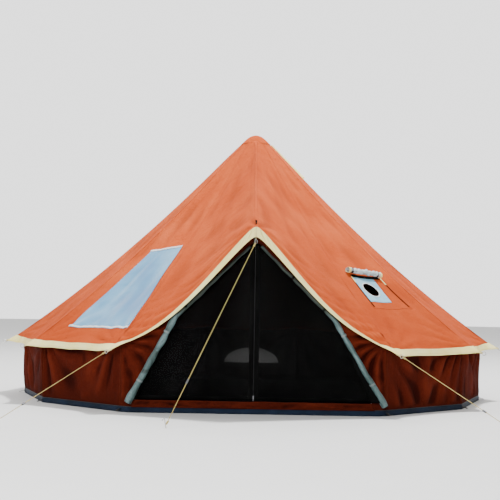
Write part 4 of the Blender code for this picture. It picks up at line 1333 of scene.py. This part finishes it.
def make_mesh_doors():
    """Insect mesh with taped edges, and a toothed zip between the halves."""
    hem, zip_tape = 0.030, 0.045
    for word, side in SIDES:
        up = np.concatenate([[0, 0.022], span(58, 0.05, 1)])
        x, z = along_corners(MESH_CORNERS, up)
        width = x - 0.001
        inset = np.minimum(hem / width, 0.3)
        middle = np.minimum(zip_tape / width, 0.3)
        inner = np.linspace(0, 1, 33)[None, :]
        columns = inset[:, None] + inner * (1 - inset - middle)[:, None]
        columns = np.concatenate([np.zeros_like(columns[:, :1]), columns,
                                  np.ones_like(columns[:, :1])], axis=1)
        across = x[:, None] - columns * width[:, None]
        height = np.broadcast_to(z[:, None], across.shape)
        free = np.sin(math.pi * columns) * np.sin(math.pi * up)[:, None]
        billow = 0.014 * waves(across * 3, height * 2.2, 1.4 + side) * free
        points = door_plane(across * side, height, -MESH_BACK - billow)
        door = grid_piece(f"mesh_door_{word}_net", points, "mesh", thickness=0.0012, body=None)
        door.data.materials.append(MATS["tape"])
        taped = np.zeros((points.shape[0] - 1, points.shape[1] - 1), np.int32)
        taped[:1] = 1
        taped[:, :1] = 1
        taped[:, -1:] = 1
        door.data.polygons.foreach_set("material_index", taped.reshape(-1))
        apply_modifiers(door)
        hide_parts(f"mesh_door_{word}")

        teeth = zip_teeth(f"zip_teeth_{word}", side)
        for piece in (door, teeth):
            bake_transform(piece)


def zip_teeth(name, side):
    """Teeth of one half of the zip, a row of small blocks up the door's meeting edge."""
    pitch, low, high = 0.006, 0.13, 1.575
    bm = bmesh.new()
    for index in range(int((high - low) / pitch)):
        z = low + pitch * (index + (0.5 if side > 0 else 0))
        tooth = bmesh.ops.create_cube(bm, size=1)["verts"]
        bmesh.ops.scale(bm, vec=(0.0044, 0.0024, 0.0028), verts=tooth)
        place = door_plane(0.0024 * side, z, 0.0012 - MESH_BACK)
        bmesh.ops.translate(bm, vec=place.tolist(), verts=tooth)
    teeth = bmesh_object(name, bm, MATS["rubber"])
    return teeth


def make_zip_pull():
    """Slider's pull tab, a flat plate with a hole, hanging from the slider."""
    low, high = (Vector(corner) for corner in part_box("zip_slider"))
    top = Vector(((low.x + high.x) / 2, low.y - 0.0016, (low.z + high.z) / 2 + 0.004))
    curve = bpy.data.curves.new("zip_pull", "CURVE")
    curve.dimensions = "2D"
    curve.fill_mode = "BOTH"
    curve.extrude = 0.0008
    curve.bevel_depth = 0.0003
    for half, height, base in ((0.005, 0.036, -0.036), (0.0026, 0.010, -0.032)):
        spline = curve.splines.new("POLY")
        outline = []
        for step in range(24):
            angle = 2 * math.pi * step / 24
            y = base + height / 2 + (height / 2 - half) * math.copysign(1, math.sin(angle))
            outline.append((half * math.cos(angle), y + half * math.sin(angle)))
        spline.points.add(len(outline) - 1)
        spline.use_cyclic_u = True
        for target, (x, y) in zip(spline.points, outline):
            target.co = (x, y, 0, 1)
    curve.materials.append(MATS["alloy"])
    pull = bpy.data.objects.new("zip_pull", curve)
    pull.matrix_world = Matrix.Translation(top) @ Matrix.Rotation(math.pi / 2, 4, "X")
    link(pull, "zip_slider")


def half_moon_grid(half, height, out, base, rows=16, relief=0.0):
    """Half-moon of cloth by the back wall; a negative height hangs from its base."""
    u, v = np.meshgrid(span(48, -1, 1), span(rows))
    u = np.sin(u * math.pi / 2)
    arc = np.sqrt(np.clip(1 - u * u, 0.0004, 1))
    slack = relief * waves(u * 6, v * 3, 2.4) * np.sin(math.pi * v) * arc
    return xyz(half * u, WINDOW_Y + out + slack, base + height * arc * v)


def make_rear_window():
    """Half-moon net in the back wall with its bound edge and sill, and the flap inside."""
    net = half_moon_grid(WINDOW_HALF + 0.002, WINDOW_RISE + 0.002, 0, WINDOW_BASE - 0.001,
                         relief=0.003)
    cloth("rear_window_net", net, "net", ["rear_window_mesh"], "stretched",
          ["wall_back_canvas"], thickness=0.001)
    for word, out in (("inner", -0.003), ("outer", 0.003)):
        binding = [half_moon_grid(half, height, out, base, rows=1)[1]
                   for half, height, base in ((0.356, 0.198, 0.226), (0.384, 0.224, 0.212))]
        sill = [xyz(span(40, -0.384, 0.384), WINDOW_Y + out, level) for level in (0.208, 0.224)]
        grid_piece(f"rear_window_binding_{word}", np.stack(binding), "wall", thickness=0.0016)
        grid_piece(f"rear_window_sill_{word}", np.stack(sill), "wall", thickness=0.0016)
    cover = half_moon_grid(WINDOW_HALF + 0.018, 0.016 - WINDOW_RISE, -0.012, WINDOW_BASE - 0.002,
                           relief=0.004)
    cloth("rear_window_cover", cover, "wall", ["rear_window_flap"], "hung",
          ["wall_back_canvas"], thickness=0.0018, body="window_flap")


# ---------------------------------------------------------------- guy lines

def rope_ends(ring, foot):
    """Where the rope starts at its ring and ends at its peg, and the peg's direction."""
    away = Vector((foot.x - ring.x, foot.y - ring.y, 0)).normalized()
    down = (foot + UP * ROPE_END_HEIGHT - ring).normalized()
    start = ring + down * (RING_RADIUS + RING_WIRE + ROPE_RADIUS)
    return start, foot - away * PEG_RADIUS + UP * ROPE_END_HEIGHT, away


def twisted_rope(name, start, end):
    """Three strands laid round each other along a straight, taut line."""
    length = (end - start).length
    along = (end - start) / length
    first = along.cross(UP).normalized()
    second = np.array(along.cross(first))
    first = np.array(first)
    lay, strand, sides = 0.026, ROPE_RADIUS * 0.52, 6
    rings = round(length / lay * 9)
    place = span(rings)[:, None] * length
    around = np.arange(sides)[None, :, None] * 2 * math.pi / sides
    rim = (np.cos(around) * first + np.sin(around) * second) * strand
    ring, side = np.meshgrid(np.arange(rings) * sides, np.arange(sides), indexing="ij")
    turned = (side + 1) % sides
    walls = np.stack([ring + side, ring + turned, ring + sides + turned, ring + sides + side],
                     axis=-1).reshape(-1, 4)
    verts, faces = [], []
    for number in range(3):
        turn = place / lay * 2 * math.pi + number * 2 * math.pi / 3
        middle = (np.array(start) + place * np.array(along)
                  + (ROPE_RADIUS - strand) * (np.cos(turn) * first + np.sin(turn) * second))
        base = len(verts)
        verts += (middle[:, None] + rim).reshape(-1, 3).tolist()
        faces += (base + walls).tolist()
        faces.append([base + side for side in reversed(range(sides))])
        faces.append([base + rings * sides + side for side in range(sides)])
    mesh = bpy.data.meshes.new(name)
    mesh.from_pydata(verts, [], faces)
    mesh.shade_smooth()
    mesh.materials.append(MATS["rope"])
    return link(bpy.data.objects.new(name, mesh))


def rope_hitch(name, knot, target, across, grip):
    """A loop of the rope round a ring or peg, closed by three turns round the rope itself."""
    along = (target - knot).normalized()
    side = (across - along * across.dot(along)).normalized()
    third = along.cross(side)
    reach = (target - knot).length / 2
    coil_length, coil_pitch, coil_radius = 0.020, 0.0062, 0.0056
    line = []
    for step in range(37):
        angle = math.radians(30 * step)
        line.append(knot - along * (coil_length - coil_pitch * angle / (2 * math.pi))
                    + (side * math.cos(angle) + third * math.sin(angle)) * coil_radius)
    for step in range(1, 14):
        angle = math.pi * step / 14 * 2 - math.pi
        line.append(knot + along * (reach + (reach + grip) * math.cos(angle))
                    - side * grip * math.sin(angle))
    return bead(name, line, 0.0027, "rope")


def make_guy_lines():
    corner_radius, corner_z = CORNER_RING
    places = {"front": (Vector(GABLE_RING), Vector(FRONT_PEG))}
    for word, side in SIDES:
        out = outward(GABLE_ANGLE * side)
        places[word] = (out * corner_radius + UP * corner_z, out * CORNER_PEG_RADIUS)
    for word, (ring, foot) in places.items():
        start, end, away = rope_ends(ring, foot)
        rope = twisted_rope(f"guy_line_{word}", start, end)
        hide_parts(f"guy_rope_{word}")
        across = away.cross(UP)
        along = (end - start).normalized()
        top = rope_hitch(f"guy_hitch_top_{word}", start + along * 0.012,
                         ring + along * RING_RADIUS, across, 0.0055)
        low = rope_hitch(f"guy_hitch_peg_{word}", end - along * 0.016,
                         foot + UP * ROPE_END_HEIGHT, across, 0.0085)


# ---------------------------------------------------------------- CAD parts that stay

def finish_cad_parts():
    finishes = (("centre_pole_foot", "rubber"), ("centre_pole_cap", "rubber"),
                ("centre_pole", "steel"), ("door_frame_foot", "rubber"), ("door_frame", "steel"),
                ("groundsheet_floor", "pvc"), ("guy_ring", "zinc"), ("peg", "zinc"),
                ("rope_runner", "alloy"), ("zip_slider", "alloy"))
    for name, part in NODES.items():
        for start, key in finishes:
            if name.startswith(start):
                for slot in part.material_slots:
                    slot.material = MATS[key]
                break


MATS = make_materials()
make_camera()
for make in (make_guy_lines, make_stage, finish_cad_parts, make_roof, make_valance,
             make_gable_trim, make_ridge_slot, make_walls, make_front_walls, make_sill, make_rim,
             make_guy_tabs, make_skylight, make_stove_jack, make_vent, make_storm_doors,
             make_mesh_doors, make_zip_pull, make_rear_window):
    make()
